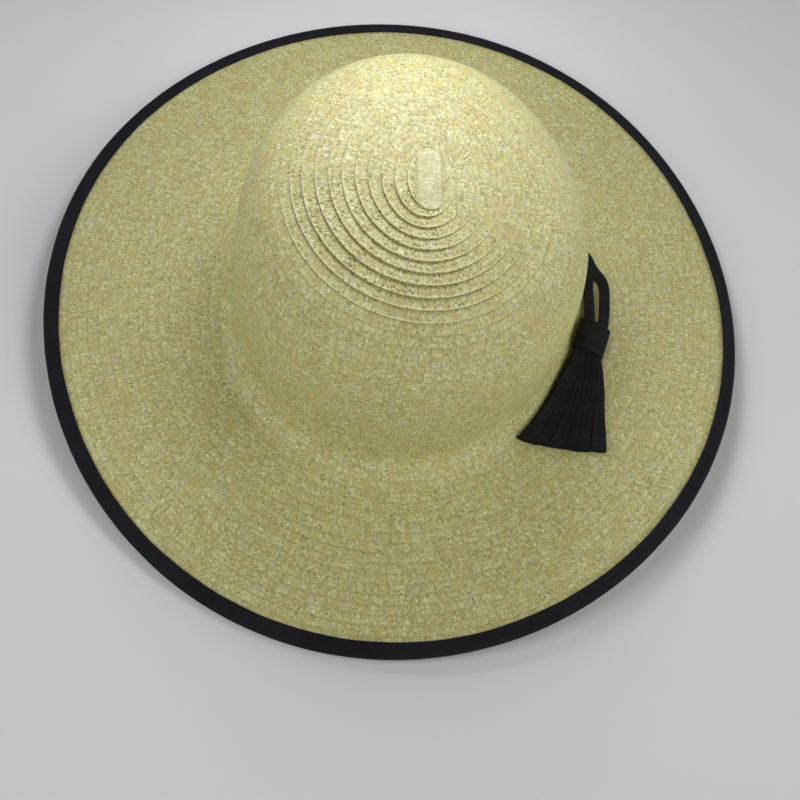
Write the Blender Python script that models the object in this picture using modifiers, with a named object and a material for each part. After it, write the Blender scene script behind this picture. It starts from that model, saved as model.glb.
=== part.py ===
"""Wide-brim straw hat: an oval dome crown and a gently waved brim of sewn straw braid, a ribbon
bound over the brim's edge, and a strip tassel that hangs from the crown's left side.

Metres and degrees, +Z up, front of the hat towards -Y. The origin is on the surface the hat rests
on, under the middle of its outline. Azimuths turn round the head from +X, the wearer's left, towards
the back. A table's lengths are shares of the named size that its function multiplies them by.
"""
import math

import bmesh
import bpy
from mathutils import Vector

# Head opening, inside the straw at the head line, where crown and brim meet
HEAD_HALF_WIDTH = 0.0835
HEAD_HALF_LENGTH = 0.1005
STRAW = 0.002

# Gap between neighbouring pieces, and what the tassel needs to lie clear of the brim's facets
GAP = 0.0003
LAY = 0.0006

# Crown, above the head line; a higher squareness fills the shoulders out, and the bulge and the
# waist are shares by which the wall leans out on its way up
CROWN_HEIGHT = 0.095
TIP_EXTRA_LENGTH = 0.0126
TIP_LEAN_RIGHT = 0.0021
TIP_LEAN_FRONT = 0.0082
CROWN_BULGE = 0.083
CROWN_WAIST = 0.2
TIP_ZONE = 0.25
TIP_FLATNESS = 2.9
SHOULDER_SQUARENESS = 3.0
SHOULDER_WAVES = (
    {"waves": 1, "side": -0.75, "back": -0.35},
    {"waves": 2, "side": 0.1, "back": -0.4},
)

# Brim, along its slope from the head line to the straw's edge, with its droop below level
BRIM_WIDTH = 0.1005
HEAD_CURVE = 0.015
BRIM_DROOP = 8.2
BRIM_WAVES = (
    {"waves": 1, "side": -0.15, "back": 1.8},
    {"waves": 2, "side": -3.3, "back": 0.5},
    {"waves": 3, "side": 0.5, "back": 1.9},
)

# Ribbon bound over the brim's edge
RIBBON = 0.001
RIBBON_REACH = 0.0055

# Tassel: where its loop is sewn, and how far from the head line its middle lies
TASSEL_AZIMUTH = 36.0
TASSEL_OFFSET = 0.014
STRIP_THICKNESS = 0.0014

# Loop, from the wrap back to where it is sewn
LOOP_LENGTH = 0.054
LOOP_STRIP = 0.0058
LOOP_SPREAD = 0.0045
LOOP_OVERLAP = 0.0002
LOOP_INSIDE = 0.0045
LOOP_PATH = (
    {"along": 0.0, "reach": 1.02, "spread": 0.85},
    {"along": 0.3, "reach": 1.04, "spread": 1.0},
    {"along": 0.56, "reach": 1.05, "spread": 0.7},
    {"along": 0.67, "reach": 1.02, "spread": 0.12},
    {"along": 0.82, "reach": 0.86, "spread": 0.0},
    {"along": 1.0, "reach": 0.48, "spread": 0.0},
)

# Wrap, an oval sleeve turned a little towards the crown, bedded on the brim across its width
WRAP_LENGTH = 0.018
WRAP_WIDTH = 0.0175
WRAP_DEPTH = 0.0075
WRAP_WALL = 0.001
WRAP_TURN = 4.0
WRAP_BED = 0.006

# Fringe, a fan between a side along the crown's foot and a side out on the brim; every other strip
# is stepped up over its neighbours and cut a little shorter
FRINGE_INSIDE = 0.009
FRINGE_REACH = 0.045
FRINGE_SWEEP_CROWN = 33.5
FRINGE_SWEEP_BRIM = 20.5
FRINGE_EDGES = (
    {"along": 0.0, "crown_side": 0.09, "brim_side": 0.53},
    {"along": 0.33, "crown_side": 0.08, "brim_side": 0.62},
    {"along": 0.67, "crown_side": 0.12, "brim_side": 0.78},
    {"along": 1.0, "crown_side": 0.16, "brim_side": 1.0},
)
FRINGE_EDGE_DEPTH = 0.0008
STRIPS = 11
STRIP_STEP = 0.0008
STRIP_CREASE = 0.04
UPPER_STRIP_SHORTER = 0.03

# Mesh density
COLUMNS = 72
CROWN_ROWS = 12
CURVE_ROWS = 5
SKIRT_ROWS = 3
NOSE_STEPS = 4
OVAL_STEPS = 16
LOOP_STEPS = 10
FRINGE_STEPS = 8
WALK_STEPS = 24
WALK_PROBE = 0.001

STRAW_COLOUR = (0.62, 0.57, 0.33, 1.0)
RIBBON_COLOUR = (0.012, 0.012, 0.017, 1.0)
TASSEL_COLOUR = (0.016, 0.016, 0.017, 1.0)


# Shape of the straw surface

def waved(middle, waves, azimuth):
    """A middle value with the waves of a table added, round the head."""
    for row in waves:
        turn = row["waves"] * azimuth
        middle += row["side"] * math.cos(turn) + row["back"] * math.sin(turn)
    return middle


def crown_outer(azimuth, height):
    """Point on the crown's outer face, at a height above the head line."""
    dome = CROWN_HEIGHT + HEAD_CURVE
    share = (height + HEAD_CURVE) / dome
    above_foot = height / dome
    squareness = waved(SHOULDER_SQUARENESS, SHOULDER_WAVES, azimuth)
    fullness = max(1.0 - share ** TIP_FLATNESS, 0.0) ** (1.0 / squareness)
    swell = 1.0 + CROWN_BULGE * above_foot + CROWN_WAIST * above_foot ** 2
    half_width = HEAD_HALF_WIDTH + STRAW
    radius = half_width * fullness * swell
    base_extra = HEAD_HALF_LENGTH - HEAD_HALF_WIDTH
    extra = base_extra + (TIP_EXTRA_LENGTH - base_extra) * share
    extra *= min(1.0, radius / (TIP_ZONE * half_width))
    return Vector((
        radius * math.cos(azimuth) - TIP_LEAN_RIGHT * share ** 2,
        (radius + extra) * math.sin(azimuth) - TIP_LEAN_FRONT * share ** 2,
        height,
    ))


def brim_slope(azimuth):
    """How far the skirt of the brim dips below level, in radians."""
    return math.radians(waved(BRIM_DROOP, BRIM_WAVES, azimuth))


def outward(azimuth):
    """Level direction straight out of the head oval."""
    across = math.cos(azimuth) / (HEAD_HALF_WIDTH + STRAW)
    along = math.sin(azimuth) / (HEAD_HALF_LENGTH + STRAW)
    return Vector((across, along, 0.0)).normalized()


def brim_frame(azimuth, distance):
    """Point on the brim's top face, the direction out along it, and its normal."""
    slope = brim_slope(azimuth)
    arc = HEAD_CURVE * (math.pi / 2 - slope)
    turned = min(distance, arc) / HEAD_CURVE
    skirt = max(distance - arc, 0.0)
    reach = HEAD_CURVE * (1.0 - math.cos(turned)) + skirt * math.cos(slope)
    drop = HEAD_CURVE * math.sin(turned) + skirt * math.sin(slope)
    side = outward(azimuth)
    point = crown_outer(azimuth, 0.0) + side * reach - Vector((0.0, 0.0, drop))
    along = side * math.sin(turned) - Vector((0.0, 0.0, math.cos(turned)))
    normal = side * math.cos(turned) + Vector((0.0, 0.0, math.sin(turned)))
    return point, along, normal


def brim_distance(azimuth, reach):
    """Distance along the brim's top face at which it has come this far out of the head line."""
    slope = brim_slope(azimuth)
    curve_reach = HEAD_CURVE * (1.0 - math.sin(slope))
    if reach <= curve_reach:
        return HEAD_CURVE * math.acos(1.0 - reach / HEAD_CURVE)
    arc = HEAD_CURVE * (math.pi / 2 - slope)
    return arc + (reach - curve_reach) / math.cos(slope)


def rest_on_brim(azimuth, reach, lift):
    """Point above the brim's top face, and the face's normal there."""
    point, _, normal = brim_frame(azimuth, brim_distance(azimuth, reach))
    return point + normal * lift, normal


def column_azimuths():
    return [2 * math.pi * i / COLUMNS for i in range(COLUMNS)]


def ribbon_section(azimuth):
    """Middle line of the ribbon's fold, from its upper hem round the straw's edge to its lower one."""
    edge, along, normal = brim_frame(azimuth, BRIM_WIDTH)
    middle = edge - normal * (STRAW / 2)
    radius = STRAW / 2 + GAP + RIBBON / 2
    points = [middle + normal * radius - along * RIBBON_REACH]
    for step in range(NOSE_STEPS + 1):
        turn = math.pi / 2 - math.pi * step / NOSE_STEPS
        points.append(middle + along * (radius * math.cos(turn)) + normal * (radius * math.sin(turn)))
    points.append(middle - normal * radius - along * RIBBON_REACH)
    return points


def rest_shift():
    """Moves the hat so that its ribbon rests at z = 0 and its outline is centred on the origin."""
    points = [p for azimuth in column_azimuths() for p in ribbon_section(azimuth)]
    xs = [p.x for p in points]
    ys = [p.y for p in points]
    zs = [p.z for p in points]
    return Vector((
        -(min(xs) + max(xs)) / 2,
        -(min(ys) + max(ys)) / 2,
        RIBBON / 2 - min(zs),
    ))


SHIFT = rest_shift()


# Blender helpers

def clear_scene():
    for item in list(bpy.data.objects):
        bpy.data.objects.remove(item, do_unlink=True)


def make_material(name, colour, roughness):
    material = bpy.data.materials.new(name)
    material.use_nodes = True
    shader = material.node_tree.nodes["Principled BSDF"]
    shader.inputs["Base Color"].default_value = colour
    shader.inputs["Roughness"].default_value = roughness
    shader.inputs["Metallic"].default_value = 0.0
    return material


def add_object(name, points, faces, material, collection):
    mesh = bpy.data.meshes.new(name)
    mesh.from_pydata([p + SHIFT for p in points], [], faces)
    mesh.materials.append(material)
    mesh.shade_smooth()
    mesh.set_sharp_from_angle(angle=math.radians(50))
    piece = bpy.data.objects.new(name, mesh)
    collection.objects.link(piece)
    return piece


def add_wall(piece, thickness, offset):
    """Gives an open surface its thickness; offset -1 keeps it as the outer face."""
    wall = piece.modifiers.new("wall", "SOLIDIFY")
    wall.thickness = thickness
    wall.offset = offset
    wall.use_even_offset = True
    wall.use_quality_normals = True


def ring_faces(rows, columns):
    """Faces between closed rings of points, with normals out when rings run up and turn left."""
    faces = []
    for row in range(rows - 1):
        for column in range(columns):
            after = (column + 1) % columns
            faces.append((
                row * columns + column,
                row * columns + after,
                (row + 1) * columns + after,
                (row + 1) * columns + column,
            ))
    return faces


def loft(sections):
    """Closed body through closed sections, with a flat cap on each end."""
    size = len(sections[0])
    points = [p for section in sections for p in section]
    faces = ring_faces(len(sections), size)
    faces.append(tuple(reversed(range(size))))
    last = (len(sections) - 1) * size
    faces.append(tuple(last + i for i in range(size)))
    return points, faces


def face_outwards(piece):
    work = bmesh.new()
    work.from_mesh(piece.data)
    bmesh.ops.recalc_face_normals(work, faces=work.faces)
    work.to_mesh(piece.data)
    work.free()


# Crown

def build_crown(material, collection):
    """Dome of straw: oval rings up to a closed tip, thickened inwards."""
    dome = CROWN_HEIGHT + HEAD_CURVE
    foot_turn = math.asin((HEAD_CURVE / dome) ** (TIP_FLATNESS / 2))
    points = []
    for row in range(CROWN_ROWS):
        turn = foot_turn + (math.pi / 2 - foot_turn) * row / CROWN_ROWS
        height = dome * math.sin(turn) ** (2 / TIP_FLATNESS) - HEAD_CURVE
        points += [crown_outer(azimuth, max(height, 0.0)) for azimuth in column_azimuths()]
    faces = ring_faces(CROWN_ROWS, COLUMNS)
    tip = len(points)
    points.append(crown_outer(0.0, CROWN_HEIGHT))
    last = (CROWN_ROWS - 1) * COLUMNS
    faces += [(last + i, last + (i + 1) % COLUMNS, tip) for i in range(COLUMNS)]
    piece = add_object("crown", points, faces, material, collection)
    add_wall(piece, STRAW, -1.0)
    return piece


# Brim

def build_brim(material, collection):
    """Waved skirt that turns out of the head line, thickened downwards."""
    rings = []
    for row in range(CURVE_ROWS + SKIRT_ROWS + 1):
        ring = []
        for azimuth in column_azimuths():
            arc = HEAD_CURVE * (math.pi / 2 - brim_slope(azimuth))
            if row <= CURVE_ROWS:
                distance = GAP + (arc - GAP) * row / CURVE_ROWS
            else:
                distance = arc + (BRIM_WIDTH - arc) * (row - CURVE_ROWS) / SKIRT_ROWS
            ring.append(brim_frame(azimuth, distance)[0])
        rings.append(ring)
    rings.reverse()
    points = [p for ring in rings for p in ring]
    faces = ring_faces(len(rings), COLUMNS)
    piece = add_object("brim", points, faces, material, collection)
    add_wall(piece, STRAW, -1.0)
    return piece


def build_ribbon(material, collection):
    """Ribbon folded over the brim's edge, hem on top and hem below."""
    sections = [ribbon_section(azimuth) for azimuth in column_azimuths()]
    steps = len(sections[0])
    points = [section[step] for step in range(steps) for section in sections]
    faces = [tuple(reversed(face)) for face in ring_faces(steps, COLUMNS)]
    piece = add_object("brim_ribbon", points, faces, material, collection)
    add_wall(piece, RIBBON, 0.0)
    return piece


# Tassel

def walk_round(azimuth, reach, distance):
    """Azimuth after going forwards round the brim, at a reach from the head line."""
    for _ in range(WALK_STEPS):
        here = crown_outer(azimuth, 0.0) + outward(azimuth) * reach
        probe = azimuth - WALK_PROBE
        ahead = crown_outer(probe, 0.0) + outward(probe) * reach
        azimuth -= WALK_PROBE * (distance / WALK_STEPS) / (ahead - here).length
    return azimuth


def bed_under(azimuth, reach):
    """Middle of a straight edge laid across the brim here, and its direction outwards."""
    inner, _ = rest_on_brim(azimuth, reach - WRAP_BED, LAY)
    outer, _ = rest_on_brim(azimuth, reach + WRAP_BED, LAY)
    return (inner + outer) / 2, (outer - inner).normalized()


def head_place():
    """Where the tassel's wrapped head starts, and its own directions, lying on the brim."""
    start = walk_round(math.radians(TASSEL_AZIMUTH), TASSEL_OFFSET, LOOP_LENGTH)
    end = walk_round(start, TASSEL_OFFSET, WRAP_LENGTH)
    end_offset = TASSEL_OFFSET - WRAP_LENGTH * math.sin(math.radians(WRAP_TURN))
    top, top_side = bed_under(start, TASSEL_OFFSET)
    bottom, bottom_side = bed_under(end, end_offset)
    down = (bottom - top).normalized()
    up = (top_side + bottom_side).cross(down).normalized()
    up *= math.copysign(1.0, up.z)
    side = down.cross(up).normalized()
    side *= math.copysign(1.0, side.dot(top_side))
    return {
        "azimuth": start, "end_azimuth": end, "top": top + up * (WRAP_DEPTH / 2),
        "down": down, "side": side, "up": up,
    }


def oval_section(centre, side, up, half_width, half_depth):
    turns = [2 * math.pi * i / OVAL_STEPS for i in range(OVAL_STEPS)]
    return [
        centre + side * (half_width * math.cos(t)) + up * (half_depth * math.sin(t)) for t in turns
    ]


def strip_loft(middles, width, thickness):
    """Flat strip through middle points, each given with the normal of the strip's face there."""
    sections = []
    for i, (middle, normal) in enumerate(middles):
        before = middles[max(i - 1, 0)][0]
        after = middles[min(i + 1, len(middles) - 1)][0]
        across = normal.cross((after - before).normalized()).normalized()
        wide = across * (width / 2)
        thick = normal * (thickness / 2)
        sections.append([
            middle - wide - thick, middle + wide - thick, middle + wide + thick, middle - wide + thick])
    return loft(sections)


def through(rows, column, along):
    """Smooth curve through a table's column, read at a share of the way along."""
    last = len(rows) - 2
    i = max(k for k in range(last + 1) if k == 0 or rows[k]["along"] <= along)
    slopes = []
    for k in (i, i + 1):
        before = rows[max(k - 1, 0)]
        after = rows[min(k + 1, last + 1)]
        slopes.append((after[column] - before[column]) / (after["along"] - before["along"]))
    span = rows[i + 1]["along"] - rows[i]["along"]
    t = (along - rows[i]["along"]) / span
    start, end = rows[i][column], rows[i + 1][column]
    return (
        start * (2 * t ** 3 - 3 * t ** 2 + 1) + end * (3 * t ** 2 - 2 * t ** 3)
        + span * slopes[0] * (t ** 3 - 2 * t ** 2 + t) + span * slopes[1] * (t ** 3 - t ** 2)
    )


def join_to(piece, name, points, faces, material, cutters):
    """Adds a closed body to the piece, as one solid with it."""
    other = add_object(name, points, faces, material, cutters)
    face_outwards(other)
    other.hide_render = True
    other.display_type = "WIRE"
    join = piece.modifiers.new("join_" + name, "BOOLEAN")
    join.operation = "UNION"
    join.solver = "EXACT"
    join.object = other


def build_wrap(material, collection):
    """Strip wound round the top of the tassel: a short oval sleeve."""
    head = head_place()
    points = []
    rows = 3
    for row in range(rows):
        centre = head["top"] + head["down"] * (WRAP_LENGTH * row / (rows - 1))
        points += oval_section(centre, head["side"], head["up"], WRAP_WIDTH / 2, WRAP_DEPTH / 2)
    piece = add_object("tassel_wrap", points, ring_faces(rows, OVAL_STEPS), material, collection)
    add_wall(piece, WRAP_WALL, -1.0)
    return piece


def loop_leg(head, side):
    """One leg of the loop, from inside the wrap to where it is sewn to the crown's foot."""
    inside = LOOP_PATH[0]["spread"] * LOOP_SPREAD * side
    start = head["top"] + head["down"] * LOOP_INSIDE
    mouth = head["top"] - head["down"] * GAP
    middles = [(start + head["side"] * inside, head["up"]), (mouth + head["side"] * inside, head["up"])]
    over = LOOP_OVERLAP * (1 + side)
    rest_lift = LAY + STRIP_THICKNESS / 2 + over
    for step in range(1, LOOP_STEPS + 1):
        along = step / LOOP_STEPS
        azimuth = walk_round(head["azimuth"], TASSEL_OFFSET, -LOOP_LENGTH * along)
        reach = TASSEL_OFFSET * through(LOOP_PATH, "reach", along)
        spread = LOOP_SPREAD * max(through(LOOP_PATH, "spread", along), 0.0) * side
        lift = rest_lift + (WRAP_DEPTH / 2 - rest_lift) * (1.0 - along) ** 3
        middles.append(rest_on_brim(azimuth, reach + spread, lift))
    return middles


def build_loop(material, collection, cutters):
    """Doubled strip that hangs the tassel: two legs that part above the wrap, joined where they meet."""
    head = head_place()
    points, faces = strip_loft(loop_leg(head, -1), LOOP_STRIP, STRIP_THICKNESS)
    piece = add_object("tassel_loop", points, faces, material, collection)
    face_outwards(piece)
    points, faces = strip_loft(loop_leg(head, 1), LOOP_STRIP, STRIP_THICKNESS)
    join_to(piece, "outer_leg", points, faces, material, cutters)
    return piece


def fringe_outline():
    """Corners of the fan's section, from the crown's side over the top and back underneath."""
    corners = []
    for index in range(STRIPS):
        layer = index % 2
        for edge in (STRIP_CREASE, 1.0 - STRIP_CREASE):
            corners.append({"across": (index + edge) / STRIPS, "layer": layer, "top": True})
    return corners + [dict(corner, top=False) for corner in reversed(corners)]


def fringe_height(across, layer, top, settled):
    """Height over the brim: an oval bundle in the wrap that settles into flat strips."""
    depth = WRAP_DEPTH / 2 - WRAP_WALL - GAP
    bulge = max(depth * math.sqrt(1.0 - (2 * across - 1.0) ** 2), FRINGE_EDGE_DEPTH / 2)
    bundled = WRAP_DEPTH / 2 + (bulge if top else -bulge)
    flat = LAY + (STRIP_THICKNESS + STRIP_STEP * layer if top else 0.0)
    return bundled + (flat - bundled) * settled


def fringe_section(head, along):
    """Section of the fan of strips, at a share of the way from the wrap to the strips' ends."""
    rows = FRINGE_EDGES
    section = []
    for corner in fringe_outline():
        across, layer = corner["across"], corner["layer"]
        share = along * (1.0 - UPPER_STRIP_SHORTER * layer)
        sweep = FRINGE_SWEEP_CROWN + (FRINGE_SWEEP_BRIM - FRINGE_SWEEP_CROWN) * across
        azimuth = head["end_azimuth"] - math.radians(sweep * share)
        near = FRINGE_REACH * through(rows, "crown_side", share)
        far = FRINGE_REACH * through(rows, "brim_side", share)
        settled = 1.0 - (1.0 - along) ** 2
        lift = fringe_height(across, layer, corner["top"], settled)
        section.append(rest_on_brim(azimuth, near + (far - near) * across, lift)[0])
    return section


def bundle_section(head, along):
    """Section of the gathered strips inside the wrap, at a distance down the tassel."""
    half = WRAP_WIDTH / 2 - WRAP_WALL - 2 * GAP
    section = []
    for corner in fringe_outline():
        across = corner["across"]
        height = fringe_height(across, corner["layer"], corner["top"], 0.0) - WRAP_DEPTH / 2
        centre = head["top"] + head["down"] * along
        section.append(centre + head["side"] * ((2 * across - 1.0) * half) + head["up"] * height)
    return section


def build_fringe(material, collection):
    """Fan of cut strips, fused side by side, with their upper ends gathered in the wrap."""
    head = head_place()
    sections = [bundle_section(head, WRAP_LENGTH - FRINGE_INSIDE), bundle_section(head, WRAP_LENGTH + GAP)]
    sections += [fringe_section(head, step / FRINGE_STEPS) for step in range(1, FRINGE_STEPS + 1)]
    points, faces = loft(sections)
    piece = add_object("tassel_fringe", points, faces, material, collection)
    face_outwards(piece)
    return piece


def main():
    clear_scene()
    parts = bpy.data.collections.new("straw_hat")
    cutters = bpy.data.collections.new("cutters")
    bpy.context.scene.collection.children.link(parts)
    bpy.context.scene.collection.children.link(cutters)
    build_crown(make_material("crown_straw", STRAW_COLOUR, 0.75), parts)
    build_brim(make_material("brim_straw", STRAW_COLOUR, 0.75), parts)
    build_ribbon(make_material("ribbon_black", RIBBON_COLOUR, 0.8), parts)
    build_loop(make_material("loop_black", TASSEL_COLOUR, 0.7), parts, cutters)
    build_wrap(make_material("wrap_black", TASSEL_COLOUR, 0.7), parts)
    build_fringe(make_material("fringe_black", TASSEL_COLOUR, 0.7), parts)


main()
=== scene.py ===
# %% [markdown]
# # Wide-brim straw hat
#
# A sun hat is one long straw braid, sewn round and round on itself: it starts as a short strip at
# the tip, winds down the crown, turns out at the head line and goes on to the edge of the brim. A
# black ribbon is bound over that edge, and a small black tassel is sewn at the foot of the crown.
#
# The solids of the hat are loaded first. Everything made here is laid on them, in the same place
# and at the same size. Lengths are in metres and turns in degrees, +Z is up, and the front of the
# hat looks towards -Y.

# %% Load the solids
import math

import bmesh
import bpy
import numpy as np
from mathutils import Matrix, Vector


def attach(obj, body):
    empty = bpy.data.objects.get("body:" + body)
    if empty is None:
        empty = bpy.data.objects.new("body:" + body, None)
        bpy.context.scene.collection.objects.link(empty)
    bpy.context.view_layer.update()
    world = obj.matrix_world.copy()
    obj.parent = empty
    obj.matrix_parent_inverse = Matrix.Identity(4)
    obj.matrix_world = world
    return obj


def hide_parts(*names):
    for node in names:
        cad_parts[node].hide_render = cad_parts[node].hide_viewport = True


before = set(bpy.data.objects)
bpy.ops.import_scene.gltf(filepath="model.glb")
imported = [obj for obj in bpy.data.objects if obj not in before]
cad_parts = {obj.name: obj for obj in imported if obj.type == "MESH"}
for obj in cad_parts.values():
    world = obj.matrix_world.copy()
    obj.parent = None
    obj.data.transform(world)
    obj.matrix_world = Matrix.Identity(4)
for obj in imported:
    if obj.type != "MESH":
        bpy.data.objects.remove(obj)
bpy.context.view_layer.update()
print("solids:", sorted(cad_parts))

# %% [markdown]
# ## Camera
#
# The hat is seen from the front and well above, with the camera a little rolled, so that the back
# of the hat leans to the right of the picture. A camera is placed by three directions: back, from
# the hat to the camera, and right and up in the picture. Working them out from an azimuth, a
# height and a roll keeps each of the three turns easy to change by itself.

# %% Camera at the picture's angle
CAMERA_AZIMUTH = 2.58
CAMERA_HEIGHT = 60.43
CAMERA_ROLL = 16.43
CAMERA_DISTANCE = 0.8875
CAMERA_LENS = 77.5
SENSOR_WIDTH = 36.0
AIM_RIGHT = -0.0017
AIM_UP = -0.0548
AIM_POINT = Vector((0.0001, 0.0001, 0.0192))


def camera_axes(azimuth, height, roll):
    """Back, right and up of a camera, from its three turns in degrees."""
    a, e, r = (math.radians(turn) for turn in (azimuth, height, roll))
    back = Vector((math.sin(a) * math.cos(e), -math.cos(a) * math.cos(e), math.sin(e)))
    level = Vector((math.cos(a), math.sin(a), 0.0))
    upright = back.cross(level)
    right = math.cos(r) * level + math.sin(r) * upright
    up = -math.sin(r) * level + math.cos(r) * upright
    return back, right, up


back, right, up = camera_axes(CAMERA_AZIMUTH, CAMERA_HEIGHT, CAMERA_ROLL)
lens = bpy.data.cameras.new("camera")
lens.lens = CAMERA_LENS
lens.sensor_width = SENSOR_WIDTH
camera = bpy.data.objects.new("camera", lens)
bpy.context.scene.collection.objects.link(camera)
camera_place = AIM_POINT + right * AIM_RIGHT + up * AIM_UP + back * CAMERA_DISTANCE
camera_turn = Matrix((right, up, back)).transposed().to_4x4()
camera.matrix_world = Matrix.Translation(camera_place) @ camera_turn
bpy.context.scene.camera = camera
print("camera at", [round(value, 3) for value in camera_place])

# %% [markdown]
# ## Light
#
# One small soft lamp close behind the top of the crown makes it bright, and lets the light graze
# over its front shoulder, which draws a thin shadow under each row. Seven large lamps further off
# light the brim and the front evenly, and the four lowest of them stand furthest away. A lamp close
# by fades quickly with distance, so the first one leaves the brim alone. A table keeps them side by
# side, and one loop places each and turns it to look at a point of the hat.

# %% Soft studio light
CROWN_TOP = (0.0, 0.0, 0.12)
HAT_FOOT = (0.0, 0.0, 0.0)
NEAR_LAMP, FAR_LAMP, LOW_LAMP = 0.14, 0.6, 0.9
LIGHTS = (
    {"name": "near_back", "place": (-0.05, 0.12, 0.27), "size": NEAR_LAMP, "watts": 0.42},
    {"name": "front_left", "place": (-0.7, -0.7, 0.84), "size": FAR_LAMP, "watts": 5.15},
    {"name": "front_right", "place": (0.7, -0.7, 0.84), "size": FAR_LAMP, "watts": 0.8},
    {"name": "right", "place": (1.0, 0.0, 0.84), "size": FAR_LAMP, "watts": 3.75},
    {"name": "low_right", "place": (1.34, -1.34, 0.51), "size": LOW_LAMP, "watts": 6.8},
    {"name": "low_back", "place": (1.34, 1.34, 0.51), "size": LOW_LAMP, "watts": 7.2},
    {"name": "low_left", "place": (-1.34, 1.34, 0.51), "size": LOW_LAMP, "watts": 2.9},
    {"name": "left", "place": (-1.88, 0.0, 0.51), "size": LOW_LAMP, "watts": 3.6},
)
NEAR_COLOUR, FAR_COLOUR = (1.0, 1.0, 1.12), (1.0, 1.0, 1.0)
ROOM_COLOUR = (1.0, 1.0, 1.0, 1.0)
ROOM_BRIGHTNESS = 0.01

for row in LIGHTS:
    near = row["size"] == NEAR_LAMP
    data = bpy.data.lights.new(row["name"], "AREA")
    data.shape = "SQUARE"
    data.size = row["size"]
    data.energy = row["watts"]
    data.color = NEAR_COLOUR if near else FAR_COLOUR
    light = bpy.data.objects.new(row["name"], data)
    place = Vector(row["place"])
    aim = Vector(CROWN_TOP if near else HAT_FOOT)
    facing = (place - aim).to_track_quat("Z", "Y").to_matrix().to_4x4()
    light.matrix_world = Matrix.Translation(place) @ facing
    bpy.context.scene.collection.objects.link(light)

room = bpy.data.worlds.new("room")
room.use_nodes = True
room_light = room.node_tree.nodes["Background"].inputs
room_light["Color"].default_value = ROOM_COLOUR
room_light["Strength"].default_value = ROOM_BRIGHTNESS
bpy.context.scene.world = room
bpy.context.scene.view_settings.view_transform = "Standard"
print("lights:", len(LIGHTS))

# %% [markdown]
# ## Sizes of the hat
#
# The braid has to lie on the solids, so the same sizes and the same rules of shape are used here
# as in their source. The crown is a dome whose rings are ovals. The brim turns out of the head
# line in a quarter of a small circle and goes on as a straight skirt, whose slope waves round the
# head. They are written for whole tables of points at once, which is what makes a long braid quick.

# %% Sizes
HEAD_HALF_WIDTH = 0.0835
HEAD_HALF_LENGTH = 0.1005
STRAW = 0.002
CROWN_HEIGHT = 0.095
TIP_EXTRA_LENGTH = 0.0126
TIP_LEAN_RIGHT = 0.0021
TIP_LEAN_FRONT = 0.0082
CROWN_BULGE = 0.083
CROWN_WAIST = 0.2
TIP_ZONE = 0.25
TIP_FLATNESS = 2.9
SHOULDER_SQUARENESS = 3.0
SHOULDER_WAVES = (
    {"waves": 1, "side": -0.75, "back": -0.35},
    {"waves": 2, "side": 0.1, "back": -0.4},
)
BRIM_WIDTH = 0.1005
HEAD_CURVE = 0.015
BRIM_DROOP = 8.2
BRIM_WAVES = (
    {"waves": 1, "side": -0.15, "back": 1.8},
    {"waves": 2, "side": -3.3, "back": 0.5},
    {"waves": 3, "side": 0.5, "back": 1.9},
)
HEAD_LINE_PLACE = np.array((0.000109, 0.000134, 0.034182))
print("head opening, mm:", 2000 * HEAD_HALF_WIDTH, "by", 2000 * HEAD_HALF_LENGTH)


# %% Points, directions and waves
def waved(middle, waves, azimuth):
    """A middle value with the waves of a table added, round the head."""
    value = middle + 0.0 * azimuth
    for row in waves:
        turn = row["waves"] * azimuth
        value = value + row["side"] * np.cos(turn) + row["back"] * np.sin(turn)
    return value


def points_of(x, y, z):
    """Points from three tables of co-ordinates."""
    return np.stack(np.broadcast_arrays(x, y, z), axis=-1)


def unit(vectors):
    """The same directions, one unit long."""
    return vectors / np.linalg.norm(vectors, axis=-1, keepdims=True)


quarter = np.radians(np.array((0.0, 90.0, 180.0, 270.0)))
print("droop of the brim, degrees:", np.round(waved(BRIM_DROOP, BRIM_WAVES, quarter), 1).tolist())


# %% The crown's outer face
def crown_outer(azimuth, height):
    """Points on the crown's outer face, at heights above the head line."""
    dome = CROWN_HEIGHT + HEAD_CURVE
    share = (height + HEAD_CURVE) / dome
    above_foot = height / dome
    squareness = waved(SHOULDER_SQUARENESS, SHOULDER_WAVES, azimuth)
    fullness = np.maximum(1.0 - share ** TIP_FLATNESS, 0.0) ** (1.0 / squareness)
    swell = 1.0 + CROWN_BULGE * above_foot + CROWN_WAIST * above_foot ** 2
    half_width = HEAD_HALF_WIDTH + STRAW
    radius = half_width * fullness * swell
    base_extra = HEAD_HALF_LENGTH - HEAD_HALF_WIDTH
    extra = base_extra + (TIP_EXTRA_LENGTH - base_extra) * share
    extra = extra * np.minimum(1.0, radius / (TIP_ZONE * half_width))
    return HEAD_LINE_PLACE + points_of(
        radius * np.cos(azimuth) - TIP_LEAN_RIGHT * share ** 2,
        (radius + extra) * np.sin(azimuth) - TIP_LEAN_FRONT * share ** 2,
        height,
    )


front_foot = crown_outer(np.radians([270.0]), np.zeros(1))
print("head line at the front, mm:", np.round(front_foot[0] * 1000, 1).tolist())


# %% The brim's top face
def brim_slope(azimuth):
    """How far the skirt of the brim dips below level, in radians."""
    return np.radians(waved(BRIM_DROOP, BRIM_WAVES, azimuth))


def outward(azimuth):
    """Level direction straight out of the head oval."""
    across = np.cos(azimuth) / (HEAD_HALF_WIDTH + STRAW)
    along = np.sin(azimuth) / (HEAD_HALF_LENGTH + STRAW)
    return unit(points_of(across, along, 0.0))


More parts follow.
